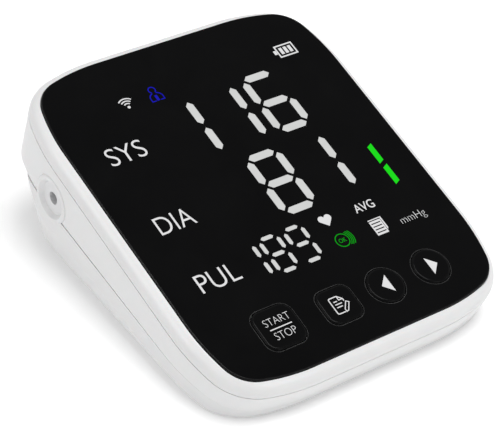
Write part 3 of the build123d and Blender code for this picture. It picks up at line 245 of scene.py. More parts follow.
film = moulded("film", (0.05, 0.05, 0.05), (0.08, 0.08, 0.08), 0.7, 1800.0, 0.3)
clad(film, "panel_adhesive")

# ---------------------------------------------------------------- keys
# Four black keys stand just proud of the panel, a little softer in gloss than it is,
# each on a plunger that runs in a snap switch on the board.
key_black = moulded("key_black", SMOKED, (0.05, 0.05, 0.05), 0.16, 3400.0, 0.05, 0.06)
switch_plastic = moulded("switch_plastic", (0.03, 0.03, 0.032), (0.08, 0.08, 0.08), 0.5, 2600.0, 0.3)
plunger_plastic = moulded("plunger_plastic", (0.09, 0.06, 0.045), (0.12, 0.09, 0.07), 0.45, 2600.0, 0.3)
key_names = ("start_stop", "memory", "back", "forward")
clad(key_black, *[f"{name}_button" for name in key_names])
clad(plunger_plastic, *[f"{name}_plunger" for name in key_names])
clad(switch_plastic, "switch_bodies")

# ---------------------------------------------------------------- lettering on the face
# White printing behind the window, its ink given a painted glow: three row names, the unit, and the average
# mark.
MM = 0.001
INK = 0.012 * MM
key_joint = next(joint for joint in frame["joints"] if joint["name"] == "start_stop_press")
face_normal = -Vector(key_joint["axis"]).normalized()
face_tilt = math.atan2(-face_normal.y, face_normal.z)
panel_low, panel_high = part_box("front_panel")
panel_middle = (Vector(panel_low) + Vector(panel_high)) / 2
panel_points = frame["nodes"]["front_panel"].data.vertices
panel_rise = max((point.co - panel_middle).dot(face_normal) for point in panel_points)
panel_top = panel_middle + face_normal * panel_rise
face_place = Matrix.Translation(panel_top) @ Matrix.Rotation(face_tilt, 4, "X")


def key_height(name):
    """How far the top of a key stands above the panel."""
    points = frame["nodes"][f"{name}_button"].data.vertices
    return max((v.co - panel_top).dot(face_normal) for v in points)


def lit(name, colour, strength, mottle):
    """A diffuser lit from behind, or ink given a painted glow, a little uneven."""
    material = bpy.data.materials.new(name)
    material.use_nodes = True
    tree = material.node_tree
    shader = tree.nodes["Principled BSDF"]
    places = tree.nodes.new("ShaderNodeTexCoord")
    patches = use_group(tree, handled_patches, places, {"Scale": 260.0})
    glow = add_node(tree, "ShaderNodeMapRange", {"To Min": strength * (1 - mottle), "To Max": strength})
    skin = use_group(tree, moulded_skin, places, {"Scale": 5200.0, "Strength": 0.08})
    tree.links.new(patches.outputs["Mask"], glow.inputs["Value"])
    tree.links.new(glow.outputs["Result"], shader.inputs["Emission Strength"])
    tree.links.new(skin.outputs["Normal"], shader.inputs["Normal"])
    shader.inputs["Emission Color"].default_value = (*colour, 1.0)
    shader.inputs["Base Color"].default_value = (*[c * 0.05 for c in colour], 1.0)
    shader.inputs["Roughness"].default_value = 0.25
    shader.inputs["Specular IOR Level"].default_value = 0.1
    return material


def place_on_face(name, mesh, body, material, height=0.0):
    """Lays a mesh drawn in millimetres on the face, riding a body."""
    mesh.transform(Matrix.Diagonal((MM, MM, 1.0, 1.0)))
    mesh.transform(face_place @ Matrix.Translation((0.0, 0.0, height)))
    mesh.materials.clear()
    mesh.materials.append(material)
    piece = bpy.data.objects.new(name, mesh)
    bpy.context.scene.collection.objects.link(piece)
    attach(piece, body)
    return piece


def lettering(name, words, left, right, bottom, top, material, body="case", height=0.0, weight=0.0):
    """Plain lettering that fills a box on the face."""
    curve = bpy.data.curves.new(name, "FONT")
    curve.body = words
    curve.extrude = INK
    curve.offset = weight
    curve.resolution_u = 6
    drawn = bpy.data.objects.new(name + "_drawn", curve)
    bpy.context.scene.collection.objects.link(drawn)
    bpy.context.view_layer.update()
    mesh = bpy.data.meshes.new_from_object(drawn.evaluated_get(bpy.context.evaluated_depsgraph_get()))
    bpy.data.objects.remove(drawn)
    xs = [v.co.x for v in mesh.vertices]
    ys = [v.co.y for v in mesh.vertices]
    stretch_x = (right - left) / (max(xs) - min(xs))
    stretch_y = (top - bottom) / (max(ys) - min(ys))
    for v in mesh.vertices:
        v.co.x = left + (v.co.x - min(xs)) * stretch_x
        v.co.y = bottom + (v.co.y - min(ys)) * stretch_y
    tidy = bmesh.new()
    tidy.from_mesh(mesh)
    bmesh.ops.remove_doubles(tidy, verts=tidy.verts, dist=0.000001)
    bmesh.ops.recalc_face_normals(tidy, faces=tidy.faces)
    tidy.to_mesh(mesh)
    tidy.free()
    return place_on_face(name, mesh, body, material, height)


# painted glow: the white ink is made emissive so that it reads evenly bright
white_print_painted_glow = lit("white_print_painted_glow", (0.74, 0.74, 0.745), 1.0, 0.05)
lettering("systolic_name", "SYS", -40.6, -27.7, 23.0, 29.4, white_print_painted_glow, weight=-0.008)
lettering("diastolic_name", "DIA", -40.5, -28.0, -4.1, 2.1, white_print_painted_glow, weight=-0.008)
lettering("pulse_name", "PUL", -40.6, -26.6, -26.4, -20.1, white_print_painted_glow, weight=-0.008)
lettering("average_mark", "AVG", 19.9, 27.3, -20.6, -17.5, white_print_painted_glow, weight=0.006)
lettering("unit_mark", "mmHg", 31.3, 40.8, -30.4, -26.9, white_print_painted_glow, weight=-0.022)


# ---------------------------------------------------------------- lit digits
# Seven pointed bars to a digit, each a white diffuser in the reflector behind the
# window. The rows read 116, 81 and 189, the last one smaller.
def make_bar_group():
    """Geometry group: one pointed bar at every point, turned by the point's turn."""
    group = bpy.data.node_groups.new("lit_bars", "GeometryNodeTree")
    face = group.interface
    face.new_socket("Points", in_out="INPUT", socket_type="NodeSocketGeometry")
    for name, value in (("Length", 9.0), ("Width", 2.5), ("Height", 0.00002)):
        socket = face.new_socket(name, in_out="INPUT", socket_type="NodeSocketFloat")
        socket.default_value = value
    face.new_socket("Finish", in_out="INPUT", socket_type="NodeSocketMaterial")
    face.new_socket("Bars", in_out="OUTPUT", socket_type="NodeSocketGeometry")
    given = group.nodes.new("NodeGroupInput")
    result = group.nodes.new("NodeGroupOutput")
    link = group.links.new

    def maths(operation, *values):
        """One sum, from numbers or sockets."""
        node = group.nodes.new("ShaderNodeMath")
        node.operation = operation
        for i, value in enumerate(values):
            if hasattr(value, "is_output"):
                link(value, node.inputs[i])
            else:
                node.inputs[i].default_value = value
        return node.outputs["Value"]

    # a six-sided plate whose corners are moved to the outline of a pointed bar
    plate = add_node(group, "GeometryNodeMeshCircle", {"Vertices": 6, "Radius": 1.0})
    plate.fill_type = "NGON"
    where = group.nodes.new("GeometryNodeInputPosition")
    split = group.nodes.new("ShaderNodeSeparateXYZ")
    link(where.outputs["Position"], split.inputs["Vector"])
    half_width = maths("DIVIDE", given.outputs["Width"], 2.0)
    off_axis = maths("GREATER_THAN", maths("ABSOLUTE", split.outputs["Y"]), 0.1)
    half_length = maths("DIVIDE", given.outputs["Length"], 2.0)
    reach = maths("SUBTRACT", half_length, maths("MULTIPLY", half_width, off_axis))
    corner_x = maths("MULTIPLY", maths("SIGN", split.outputs["X"]), reach)
    side = maths("DIVIDE", split.outputs["Y"], math.sin(math.radians(60)))
    corner_y = maths("MULTIPLY", side, half_width)
    corner = group.nodes.new("ShaderNodeCombineXYZ")
    link(corner_x, corner.inputs["X"])
    link(corner_y, corner.inputs["Y"])
    shaped = group.nodes.new("GeometryNodeSetPosition")
    link(plate.outputs["Mesh"], shaped.inputs["Geometry"])
    link(corner.outputs["Vector"], shaped.inputs["Position"])
    raised = group.nodes.new("GeometryNodeExtrudeMesh")
    raised.mode = "FACES"
    link(shaped.outputs["Geometry"], raised.inputs["Mesh"])
    link(given.outputs["Height"], raised.inputs["Offset Scale"])
    under = group.nodes.new("GeometryNodeFlipFaces")
    link(shaped.outputs["Geometry"], under.inputs["Mesh"])
    closed = group.nodes.new("GeometryNodeJoinGeometry")
    link(under.outputs["Mesh"], closed.inputs["Geometry"])
    link(raised.outputs["Mesh"], closed.inputs["Geometry"])
    welded = add_node(group, "GeometryNodeMergeByDistance", {"Distance": 0.000001})
    link(closed.outputs["Geometry"], welded.inputs["Geometry"])
    turn = add_node(group, "GeometryNodeInputNamedAttribute", {"Name": "turn"})
    turn.data_type = "FLOAT"
    spin = group.nodes.new("ShaderNodeCombineXYZ")
    link(turn.outputs["Attribute"], spin.inputs["Z"])
    placed = group.nodes.new("GeometryNodeInstanceOnPoints")
    link(given.outputs["Points"], placed.inputs["Points"])
    link(welded.outputs["Geometry"], placed.inputs["Instance"])
    link(spin.outputs["Vector"], placed.inputs["Rotation"])
    real = group.nodes.new("GeometryNodeRealizeInstances")
    link(placed.outputs["Instances"], real.inputs["Geometry"])
    finished = group.nodes.new("GeometryNodeSetMaterial")
    link(real.outputs["Geometry"], finished.inputs["Geometry"])
    link(given.outputs["Finish"], finished.inputs["Material"])
    link(finished.outputs["Geometry"], result.inputs["Bars"])
    return group


bar_group = make_bar_group()


def evaluated(name, mesh, group, inputs):
    """The plain mesh that a geometry group makes from a mesh of points."""
    holder = bpy.data.objects.new(name + "_points", mesh)
    bpy.context.scene.collection.objects.link(holder)
    modifier = holder.modifiers.new("repeat", "NODES")
    modifier.node_group = group
    for item in group.interface.items_tree:
        if item.name in inputs:
            modifier[item.identifier] = inputs[item.name]
    bpy.context.view_layer.update()
    made = bpy.data.meshes.new_from_object(holder.evaluated_get(bpy.context.evaluated_depsgraph_get()))
    holder.modifiers.clear()
    bpy.data.objects.remove(holder)
    return made


def bar_row(name, places, length, width, material):
    """Bars of one size at (x, v, turn) on the face."""
    mesh = bpy.data.meshes.new(name)
    mesh.from_pydata([(x, v, 0.0) for x, v, turn in places], [], [])
    turns = mesh.attributes.new("turn", "FLOAT", "POINT")
    for i, (x, v, turn) in enumerate(places):
        turns.data[i].value = turn
    inputs = {"Length": length, "Width": width, "Height": 2 * INK, "Finish": material}
    return place_on_face(name, evaluated(name, mesh, bar_group, inputs), "case", material)


UPRIGHT = math.pi / 2
# the bars of one digit: across in columns, up in rows, and whether the bar is upright
DIGIT_BARS = {
    "top": (0, 1, 0.0),
    "middle": (0, 0, 0.0),
    "bottom": (0, -1, 0.0),
    "upper_left": (-0.5, 0.5, UPRIGHT),
    "upper_right": (0.5, 0.5, UPRIGHT),
    "lower_left": (-0.5, -0.5, UPRIGHT),
    "lower_right": (0.5, -0.5, UPRIGHT),
}
DARK_BARS = {
    "1": ("top", "middle", "bottom", "upper_left", "lower_left"),
    "6": ("upper_right",),
    "8": (),
    "9": ("lower_left",),
}


def digit_row(name, digits, v, column, row, upright_length, level_length, width):
    """One row of the display; digits is a list of (digit, x)."""
    uprights = []
    levels = []
    for digit, x in digits:
        for bar, (across, up, turn) in DIGIT_BARS.items():
            if bar in DARK_BARS[digit]:
                continue
            place = (x + across * column, v + up * row, turn)
            (uprights if turn else levels).append(place)
    bar_row(name + "_upright_bars", uprights, upright_length, width, white_bars)
    bar_row(name + "_level_bars", levels, level_length, width, white_bars)


white_bars = lit("white_bars", (0.63, 0.637, 0.63), 1.0, 0.06)
LARGE = {"column": 10.84, "row": 10.6, "upright_length": 9.0, "level_length": 9.5, "width": 2.57}
SMALL = {"column": 6.3, "row": 6.13, "upright_length": 4.33, "level_length": 4.5, "width": 1.33}
digit_row("systolic", (("1", -11.0), ("1", 5.3), ("6", 21.5)), 26.1, **LARGE)
digit_row("diastolic", (("8", 4.6), ("1", 20.9)), -1.0, **LARGE)
digit_row("pulse", (("1", -20.7), ("8", -11.7), ("9", -2.66)), -23.2, **SMALL)


# ---------------------------------------------------------------- lit symbols
# Two green range bars beside the digits, and small line symbols in the same window:
# wireless, user, battery, heart, cuff fit and note; the white ones carry the ink's painted glow.
def flat_piece(name, outlines, body, material, height=0.0):
    """A thin closed plate on the face, from outlines in millimetres."""
    drawing = bmesh.new()
    for outline in outlines:
        drawing.faces.new([drawing.verts.new((x, v, 0.0)) for x, v in outline])
    bmesh.ops.remove_doubles(drawing, verts=drawing.verts, dist=0.0001)
    bmesh.ops.recalc_face_normals(drawing, faces=drawing.faces)
    raised = bmesh.ops.extrude_face_region(drawing, geom=drawing.faces[:])
    lifted = [part for part in raised["geom"] if isinstance(part, bmesh.types.BMVert)]
    bmesh.ops.translate(drawing, verts=lifted, vec=(0.0, 0.0, 2 * INK))
    bmesh.ops.recalc_face_normals(drawing, faces=drawing.faces)
    mesh = bpy.data.meshes.new(name)
    drawing.to_mesh(mesh)
    drawing.free()
    return place_on_face(name, mesh, body, material, height)


def ribbon(points, width, closed=False):
    """The quads of a line of even width with mitred corners."""
    count = len(points)
    sides = []
    for i, (x, v) in enumerate(points):
        before = Vector(points[i - 1]) if closed or i else None
        after = Vector(points[(i + 1) % count]) if closed or i < count - 1 else None
        here = Vector((x, v))
        into = (here - before).normalized() if before is not None else (after - here).normalized()
        out = (after - here).normalized() if after is not None else into
        left = Vector((-(into.y + out.y), into.x + out.x)).normalized()
        stretch = width / 2 / max(0.35, left.dot(Vector((-into.y, into.x))))
        sides.append((here + left * stretch, here - left * stretch))
    quads = []
    for i in range(count if closed else count - 1):
        left_end, right_end = sides[(i + 1) % count]
        quads.append([sides[i][0], sides[i][1], right_end, left_end])
    return quads


def arc(x, v, radius, start, end, steps=16):
    """Points along an arc, in degrees anticlockwise from the right."""
    turns = [math.radians(start + (end - start) * i / steps) for i in range(steps + 1)]
    return [(x + radius * math.cos(turn), v + radius * math.sin(turn)) for turn in turns]


def block(left, right, bottom, top):
    """The outline of a level rectangle."""
    return [(left, bottom), (right, bottom), (right, top), (left, top)]


green_bars = lit("green_bars", (0.008, 0.70, 0.008), 1.0, 0.06)
blue_light = lit("blue_light", (0.006, 0.006, 0.44), 1.0, 0.08)
green_light = lit("green_light", (0.0, 0.33, 0.004), 1.0, 0.08)
RANGE_LEFT = 38.7
RANGE_RIGHT = 40.7
RANGE_SLANT = 0.9
for number, (bottom, top) in enumerate(((-7.5, 0.3), (-16.1, -8.3)), 1):
    low_edge = [(RANGE_LEFT, bottom), (RANGE_RIGHT, bottom + RANGE_SLANT)]
    high_edge = [(RANGE_RIGHT, top), (RANGE_LEFT, top - RANGE_SLANT)]
    flat_piece(f"range_bar_{number}", [low_edge + high_edge], "case", green_bars)

WAVES_FROM = (-23.7, 41.0)
wireless = [arc(*WAVES_FROM, 0.5, 0, 337.5, 15)]
for radius in (1.45, 2.4, 3.35):
    wireless += ribbon(arc(*WAVES_FROM, radius, 48, 132, 12), 0.42)
flat_piece("wireless_symbol", wireless, "case", white_print_painted_glow)

LINE = 0.36
user = ribbon(arc(-13.4, 44.2, 1.15, -58, 238, 20), LINE)
user += ribbon([(-14.2, 40.0), (-15.6, 40.0), (-15.6, 41.6), (-15.1, 42.4), (-14.05, 43.0)], LINE)
user += ribbon([(-12.75, 43.0), (-11.7, 42.4), (-11.2, 41.6), (-11.2, 40.0), (-12.6, 40.0)], LINE)
flat_piece("user_symbol", user, "case", blue_light)
lettering("user_number", "1", -13.9, -12.95, 39.9, 42.1, blue_light, weight=-0.02)

battery = ribbon([(34.0, 40.6), (40.5, 40.6), (40.5, 45.0), (34.0, 45.0)], 0.5, closed=True)
battery += [block(32.6, 33.65, 42.0, 43.6)]
battery += [block(x, x + 1.15, 41.5, 44.1) for x in (35.0, 36.7, 38.4)]
flat_piece("battery_symbol", battery, "case", white_print_painted_glow)

left_lobe = arc(7.95, -18.15, 1.2, 215, 25, 12)
right_lobe = arc(10.25, -18.15, 1.2, 155, -35, 12)
flat_piece("heart_symbol", [left_lobe + right_lobe + [(9.1, -21.0)]], "case", white_print_painted_glow)

CUFF_MIDDLE = (9.6, -27.0)
cuff_fit = ribbon(arc(*CUFF_MIDDLE, 2.3, 0, 345, 23), 0.3, closed=True)
for radius, spread in ((2.95, 50), (3.5, 44), (4.05, 36)):
    cuff_fit += ribbon(arc(*CUFF_MIDDLE, radius, -spread, spread, 12), 0.26)
flat_piece("cuff_fit_symbol", cuff_fit, "case", green_light)
lettering("cuff_fit_letters", "OK", 8.3, 10.9, -27.75, -26.25, green_light)

# five printed lines joined by a border down each side, with a second sheet behind
NOTE_PITCH = 1.12
NOTE_LINE = 0.72
note_lines = [-30.1 + NOTE_PITCH * i for i in range(5)]
note = [block(21.2, 25.4, v, v + NOTE_LINE) for v in note_lines]
for v in note_lines[:-1]:
    for left, right in ((21.2, 21.6), (25.0, 25.4)):
        note.append(block(left, right, v + NOTE_LINE, v + NOTE_PITCH))
note.append([(25.6, -29.2), (26.1, -28.6), (26.1, -24.6), (25.6, -24.6)])
note.append(block(21.2, 26.1, -24.55, -24.2))
flat_piece("note_symbol", note, "case", white_print_painted_glow)

# ---------------------------------------------------------------- key legends
# Printed on the key tops, so each one goes down with its key; the white ink has a painted glow.
on_start = {"material": white_print_painted_glow, "body": "start_stop_key", "height": key_height("start_stop")}
lettering("start_word", "START", -30.7, -21.7, -43.8, -41.4, weight=-0.02, **on_start)
flat_piece("start_stop_bar", [block(-30.1, -22.4, -45.35, -45.0)], **on_start)
lettering("stop_word", "STOP", -29.9, -22.5, -48.8, -46.3, weight=-0.02, **on_start)

# a page with a folded corner and three printed lines, and a pen across it
page_corners = arc(-7.4, -43.7, 0.5, 90, 180, 5) + arc(-7.4, -48.3, 0.5, 180, 270, 5)
memory = ribbon([(-4.9, -43.2), *page_corners, (-5.2, -48.8)], LINE)
memory += ribbon([(-4.9, -43.2), (-3.5, -44.6), (-3.5, -45.4)], LINE)
memory += ribbon([(-4.9, -43.4), (-4.9, -44.6), (-3.7, -44.6)], 0.3)
memory += [block(-6.9, right, v, v + 0.34) for right, v in ((-5.6, -44.9), (-4.5, -45.9), (-4.9, -46.9))]
pen = [(-2.3, -46.3), (-3.1, -45.7), (-4.9, -48.0), (-4.9, -48.9), (-4.1, -48.7)]
memory += ribbon(pen, 0.3, closed=True)
flat_piece("memory_symbol", memory, "memory_key", white_print_painted_glow, key_height("memory"))

ARROW_TIP_V = -45.9
ARROW_HALF = 3.1
for key, tip, foot in (("back", 10.5, 13.6), ("forward", 32.0, 28.9)):
    half = math.copysign(ARROW_HALF, foot - tip)
    arrow_outline = [(tip, ARROW_TIP_V), (foot, ARROW_TIP_V - half), (foot, ARROW_TIP_V + half)]
    flat_piece(f"{key}_symbol", [arrow_outline], f"{key}_key", white_print_painted_glow, key_height(key))

# ---------------------------------------------------------------- display parts under the window
# Dark reflector block with a white diffuser in each bar, over small phosphor LEDs.
reflector_grey = moulded("reflector_grey", (0.10, 0.10, 0.105), (0.2, 0.2, 0.2), 0.5, 2600.0, 0.25)
diffuser_white = moulded("diffuser_white", (0.86, 0.86, 0.85), (0.9, 0.9, 0.9), 0.35, 4200.0, 0.15)
led_yellow = moulded("led_yellow", (0.75, 0.62, 0.18), (0.85, 0.8, 0.5), 0.4, 5200.0, 0.2)
clad(reflector_grey, "display_reflector")
clad(diffuser_white, "display_diffusers")
clad(led_yellow, "display_leds")

# ---------------------------------------------------------------- circuit board
# Green solder mask over copper tracks: a brick pattern of greens with lighter lines and a bump, one even
# gloss all over.
board_green = bpy.data.materials.new("board_green")
board_green.use_nodes = True
board_tree = board_green.node_tree
board_shader = board_tree.nodes["Principled BSDF"]
board_places = board_tree.nodes.new("ShaderNodeTexCoord")
tracks = add_node(board_tree, "ShaderNodeTexBrick", {"Scale": 150.0, "Mortar Size": 0.05, "Row Height": 0.2})
tracks.inputs["Color1"].default_value = (0.008, 0.10, 0.03, 1.0)
tracks.inputs["Color2"].default_value = (0.010, 0.13, 0.04, 1.0)
tracks.inputs["Mortar"].default_value = (0.05, 0.32, 0.12, 1.0)
board_bump = add_node(board_tree, "ShaderNodeBump", {"Strength": 0.5, "Distance": 0.00004})
board_tree.links.new(board_places.outputs["Object"], tracks.inputs["Vector"])
board_tree.links.new(tracks.outputs["Color"], board_shader.inputs["Base Color"])
board_tree.links.new(tracks.outputs["Fac"], board_bump.inputs["Height"])
board_tree.links.new(board_bump.outputs["Normal"], board_shader.inputs["Normal"])
board_shader.inputs["Roughness"].default_value = 0.28
clad(board_green, "main_board")


# ---------------------------------------------------------------- small parts on the board
# Capacitors and resistors are soldered to the back of the board, scattered by a geometry
# group: each is a tinned block with a ceramic or moulded sleeve round its middle.
def make_block_group():
    """Geometry group: one block standing at every point, turned a quarter or not by the seed."""
    group = bpy.data.node_groups.new("board_blocks", "GeometryNodeTree")
    face = group.interface
    face.new_socket("Points", in_out="INPUT", socket_type="NodeSocketGeometry")
    for name, value in (("Length", 1.6), ("Width", 0.8), ("Height", 0.6)):
        socket = face.new_socket(name, in_out="INPUT", socket_type="NodeSocketFloat")
        socket.default_value = value
    seed = face.new_socket("Seed", in_out="INPUT", socket_type="NodeSocketInt")
    seed.default_value = 4
    face.new_socket("Finish", in_out="INPUT", socket_type="NodeSocketMaterial")
    face.new_socket("Blocks", in_out="OUTPUT", socket_type="NodeSocketGeometry")
    given = group.nodes.new("NodeGroupInput")
    result = group.nodes.new("NodeGroupOutput")
    link = group.links.new
    size = group.nodes.new("ShaderNodeCombineXYZ")
    for measure, side in (("Length", "X"), ("Width", "Y"), ("Height", "Z")):
        link(given.outputs[measure], size.inputs[side])
    block_mesh = group.nodes.new("GeometryNodeMeshCube")
    link(size.outputs["Vector"], block_mesh.inputs["Size"])
    half = add_node(group, "ShaderNodeMath")
    half.operation = "MULTIPLY"
    half.inputs[1].default_value = 0.5
    link(given.outputs["Height"], half.inputs[0])
    middle = group.nodes.new("ShaderNodeCombineXYZ")
    link(half.outputs["Value"], middle.inputs["Z"])
    standing = group.nodes.new("GeometryNodeTransform")
    link(block_mesh.outputs["Mesh"], standing.inputs["Geometry"])
    link(middle.outputs["Vector"], standing.inputs["Translation"])
    turn = group.nodes.new("FunctionNodeRandomValue")
    turn.data_type = "INT"
    for socket in turn.inputs:
        if socket.enabled and socket.name in ("Min", "Max"):
            socket.default_value = 0 if socket.name == "Min" else 1
    link(given.outputs["Seed"], turn.inputs["Seed"])
    quarter = add_node(group, "ShaderNodeMath")
    quarter.operation = "MULTIPLY"
    quarter.inputs[1].default_value = math.pi / 2
    link(next(o for o in turn.outputs if o.enabled), quarter.inputs[0])
    spin = group.nodes.new("ShaderNodeCombineXYZ")
    link(quarter.outputs["Value"], spin.inputs["Z"])
    placed = group.nodes.new("GeometryNodeInstanceOnPoints")
    link(given.outputs["Points"], placed.inputs["Points"])
    link(standing.outputs["Geometry"], placed.inputs["Instance"])
    link(spin.outputs["Vector"], placed.inputs["Rotation"])
    real = group.nodes.new("GeometryNodeRealizeInstances")
    link(placed.outputs["Instances"], real.inputs["Geometry"])
    finished = group.nodes.new("GeometryNodeSetMaterial")
    link(real.outputs["Geometry"], finished.inputs["Geometry"])
    link(given.outputs["Finish"], finished.inputs["Material"])
    link(finished.outputs["Geometry"], result.inputs["Blocks"])
    return group


block_group = make_block_group()
part_tin = moulded("part_tin", (0.55, 0.55, 0.54), (0.62, 0.62, 0.6), 0.3, 5200.0, 0.1)
part_tin.node_tree.nodes["Principled BSDF"].inputs["Metallic"].default_value = 1.0
part_ceramic = moulded("part_ceramic", (0.34, 0.24, 0.15), (0.4, 0.3, 0.2), 0.5, 5200.0, 0.2)
part_black = moulded("part_black", (0.03, 0.03, 0.03), (0.06, 0.06, 0.06), 0.5, 5200.0, 0.2)
board_points = frame["nodes"]["main_board"].data.vertices
board_back = min((point.co - panel_top).dot(face_normal) for point in board_points)
back_turn = Matrix.Rotation(math.pi, 4, "X") @ Matrix.Scale(MM, 4)
back_place = face_place @ Matrix.Translation((0.0, 0.0, board_back)) @ back_turn
# centre and clear radius of what already stands on the back of the board
KEEP_CLEAR = (
    (-33.0, 0.0, 9.0),
    (33.0, -8.0, 12.0),
    (33.0, 38.0, 8.0),
    (-21.0, 37.6, 7.0),
    (20.0, 55.0, 8.0),
    (-44.4, -30.0, 10.0),
    (44.4, -30.0, 10.0),
    (-44.4, 14.0, 6.0),
    (44.4, 14.0, 6.0),
    (-38.0, 54.0, 5.0),
    (38.0, 54.0, 5.0),
)
SMALL_PARTS = 64
GRID = 1.27
PARTS_APART = 3.2
ENDS = {"Length": 1.6, "Width": 0.8, "Height": 0.55}
SLEEVES = {"Length": 1.0, "Width": 0.84, "Height": 0.6}
chance = random.Random(7)
part_points = []
while len(part_points) < SMALL_PARTS:
    x = round(chance.uniform(-42.0, 42.0) / GRID) * GRID
    v = round(chance.uniform(-46.0, 50.0) / GRID) * GRID
    clear = all(math.hypot(x - cx, v - cv) > radius for cx, cv, radius in KEEP_CLEAR)
    if clear and all(math.hypot(x - px, v - pv) > PARTS_APART for px, pv in part_points):
        part_points.append((x, v))
for kind, points, sleeve in (
    ("capacitor", part_points[::2], part_ceramic),
    ("resistor", part_points[1::2], part_black),
):
    for piece_part, part_sizes, finish, slot in (
        ("ends", ENDS, part_tin, "steel"),
        ("sleeves", SLEEVES, sleeve, "chip"),
    ):
        name = f"{kind}_{piece_part}"
        mesh = bpy.data.meshes.new(name)
        mesh.from_pydata([(x, -v, 0.0) for x, v in points], [], [])
        inputs = {**part_sizes, "Seed": 4, "Finish": finish}
        parts_mesh = evaluated(name, mesh, block_group, inputs)
        parts_mesh.transform(back_place)
        small_parts = bpy.data.objects.new(name, parts_mesh)
        bpy.context.scene.collection.objects.link(small_parts)
        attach(small_parts, "case")


# ---------------------------------------------------------------- chips, buzzer and sensor
# Matt black packages with a fine moulded grain, and a cream pressure sensor.
chip_black = moulded("chip_black", (0.018, 0.018, 0.018), (0.06, 0.06, 0.06), 0.55, 5200.0, 0.35)
sensor_cream = moulded("sensor_cream", (0.72, 0.70, 0.63), (0.8, 0.78, 0.72), 0.5, 2600.0, 0.2)
clad(chip_black, "microcontroller", "buzzer")
clad(sensor_cream, "pressure_sensor")


# ---------------------------------------------------------------- metal parts
# Plated steel screws, contacts and springs, a tinned shield can, the drawn motor can.
def metal(name, colour, dull_colour, roughness, streaks):
    """A metal with fine streaks along one way and duller patches."""
    material = bpy.data.materials.new(name)
    material.use_nodes = True
    tree = material.node_tree
    shader = tree.nodes["Principled BSDF"]
    places = tree.nodes.new("ShaderNodeTexCoord")
    stretch = tree.nodes.new("ShaderNodeMapping")
    stretch.inputs["Scale"].default_value = streaks
    tree.links.new(places.outputs["Object"], stretch.inputs["Vector"])
    lines = add_node(tree, "ShaderNodeTexNoise", {"Scale": 1.0, "Detail": 3.0})
    tree.links.new(stretch.outputs["Vector"], lines.inputs["Vector"])
    patches = use_group(tree, handled_patches, places, {"Scale": 300.0})
    dulled = mixed_colour(tree, patches.outputs["Mask"], colour, dull_colour)
    tree.links.new(dulled, shader.inputs["Base Color"])
    polish = add_node(tree, "ShaderNodeMapRange", {"To Min": roughness, "To Max": roughness * 1.6})
    tree.links.new(lines.outputs["Fac"], polish.inputs["Value"])
    tree.links.new(polish.outputs["Result"], shader.inputs["Roughness"])
    bump = add_node(tree, "ShaderNodeBump", {"Strength": 0.2, "Distance": 0.00002})
    tree.links.new(lines.outputs["Fac"], bump.inputs["Height"])
    tree.links.new(bump.outputs["Normal"], shader.inputs["Normal"])
    shader.inputs["Metallic"].default_value = 1.0
    return material


plated_steel = metal("plated_steel", (0.62, 0.62, 0.61), (0.5, 0.49, 0.47), 0.25, (900, 900, 5200))
shield_tin = metal("shield_tin", (0.70, 0.70, 0.68), (0.58, 0.58, 0.56), 0.3, (300, 4200, 4200))
motor_steel = metal("motor_steel", (0.55, 0.55, 0.54), (0.45, 0.45, 0.44), 0.28, (300, 5200, 5200))
coil_copper = metal("coil_copper", (0.74, 0.33, 0.16), (0.6, 0.25, 0.12), 0.3, (150, 150, 5200))
steel_nodes = ("board_screws", "case_screws", "battery_contacts", "battery_springs", "usb_socket")
clad(plated_steel, *steel_nodes, "motor_shaft", "valve_pin", "valve_spring", "valve_frame")
clad(shield_tin, "wireless_module")
clad(motor_steel, "pump_motor")
clad(coil_copper, "valve_coil")

# ---------------------------------------------------------------- battery cells
# Four small cells in a printed film sleeve: dark body with a copper-coloured band at the
# end with the nub, which changes ends from one cell to the next.
cell_sleeve = bpy.data.materials.new("cell_sleeve")
cell_sleeve.use_nodes = True
cell_tree = cell_sleeve.node_tree
cell_shader = cell_tree.nodes["Principled BSDF"]
cell_places = cell_tree.nodes.new("ShaderNodeTexCoord")
cell_split = cell_tree.nodes.new("ShaderNodeSeparateXYZ")
cell_tree.links.new(cell_places.outputs["Object"], cell_split.inputs["Vector"])
cell_low, cell_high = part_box("battery_cells")
CELLS = 4
# a cell's diameter over the spacing from one cell to the next
CELL_TO_PITCH = 0.955
cell_pitch = (cell_high[0] - cell_low[0]) / (CELLS - 1 + CELL_TO_PITCH)


def cell_maths(operation, value, other):
    """One sum on a socket."""
    node = add_node(cell_tree, "ShaderNodeMath", {1: other})
    node.operation = operation
    cell_tree.links.new(value, node.inputs[0])
    return node.outputs["Value"]


cell_number = cell_maths("FLOOR", cell_maths("DIVIDE", cell_split.outputs["X"], cell_pitch), 0.0)
odd_cell = cell_maths("FLOORED_MODULO", cell_number, 2.0)
nub_end = cell_maths("SUBTRACT", cell_maths("MULTIPLY", odd_cell, 2.0), 1.0)
towards_nub = add_node(cell_tree, "ShaderNodeMath")
towards_nub.operation = "MULTIPLY"
cell_tree.links.new(cell_split.outputs["Y"], towards_nub.inputs[0])
cell_tree.links.new(nub_end, towards_nub.inputs[1])
BAND_FROM = 0.0118
banded = add_node(cell_tree, "ShaderNodeMapRange", {"From Min": BAND_FROM, "From Max": BAND_FROM + 0.0002})
cell_tree.links.new(towards_nub.outputs["Value"], banded.inputs["Value"])
cell_colour = mixed_colour(cell_tree, banded.outputs["Result"], (0.02, 0.022, 0.026), (0.60, 0.30, 0.14))
cell_tree.links.new(cell_colour, cell_shader.inputs["Base Color"])
cell_skin = use_group(cell_tree, moulded_skin, cell_places, {"Scale": 900.0, "Strength": 0.12})
cell_tree.links.new(cell_skin.outputs["Normal"], cell_shader.inputs["Normal"])
cell_shader.inputs["Metallic"].default_value = 0.4
cell_shader.inputs["Roughness"].default_value = 0.3
clad(cell_sleeve, "battery_cells")

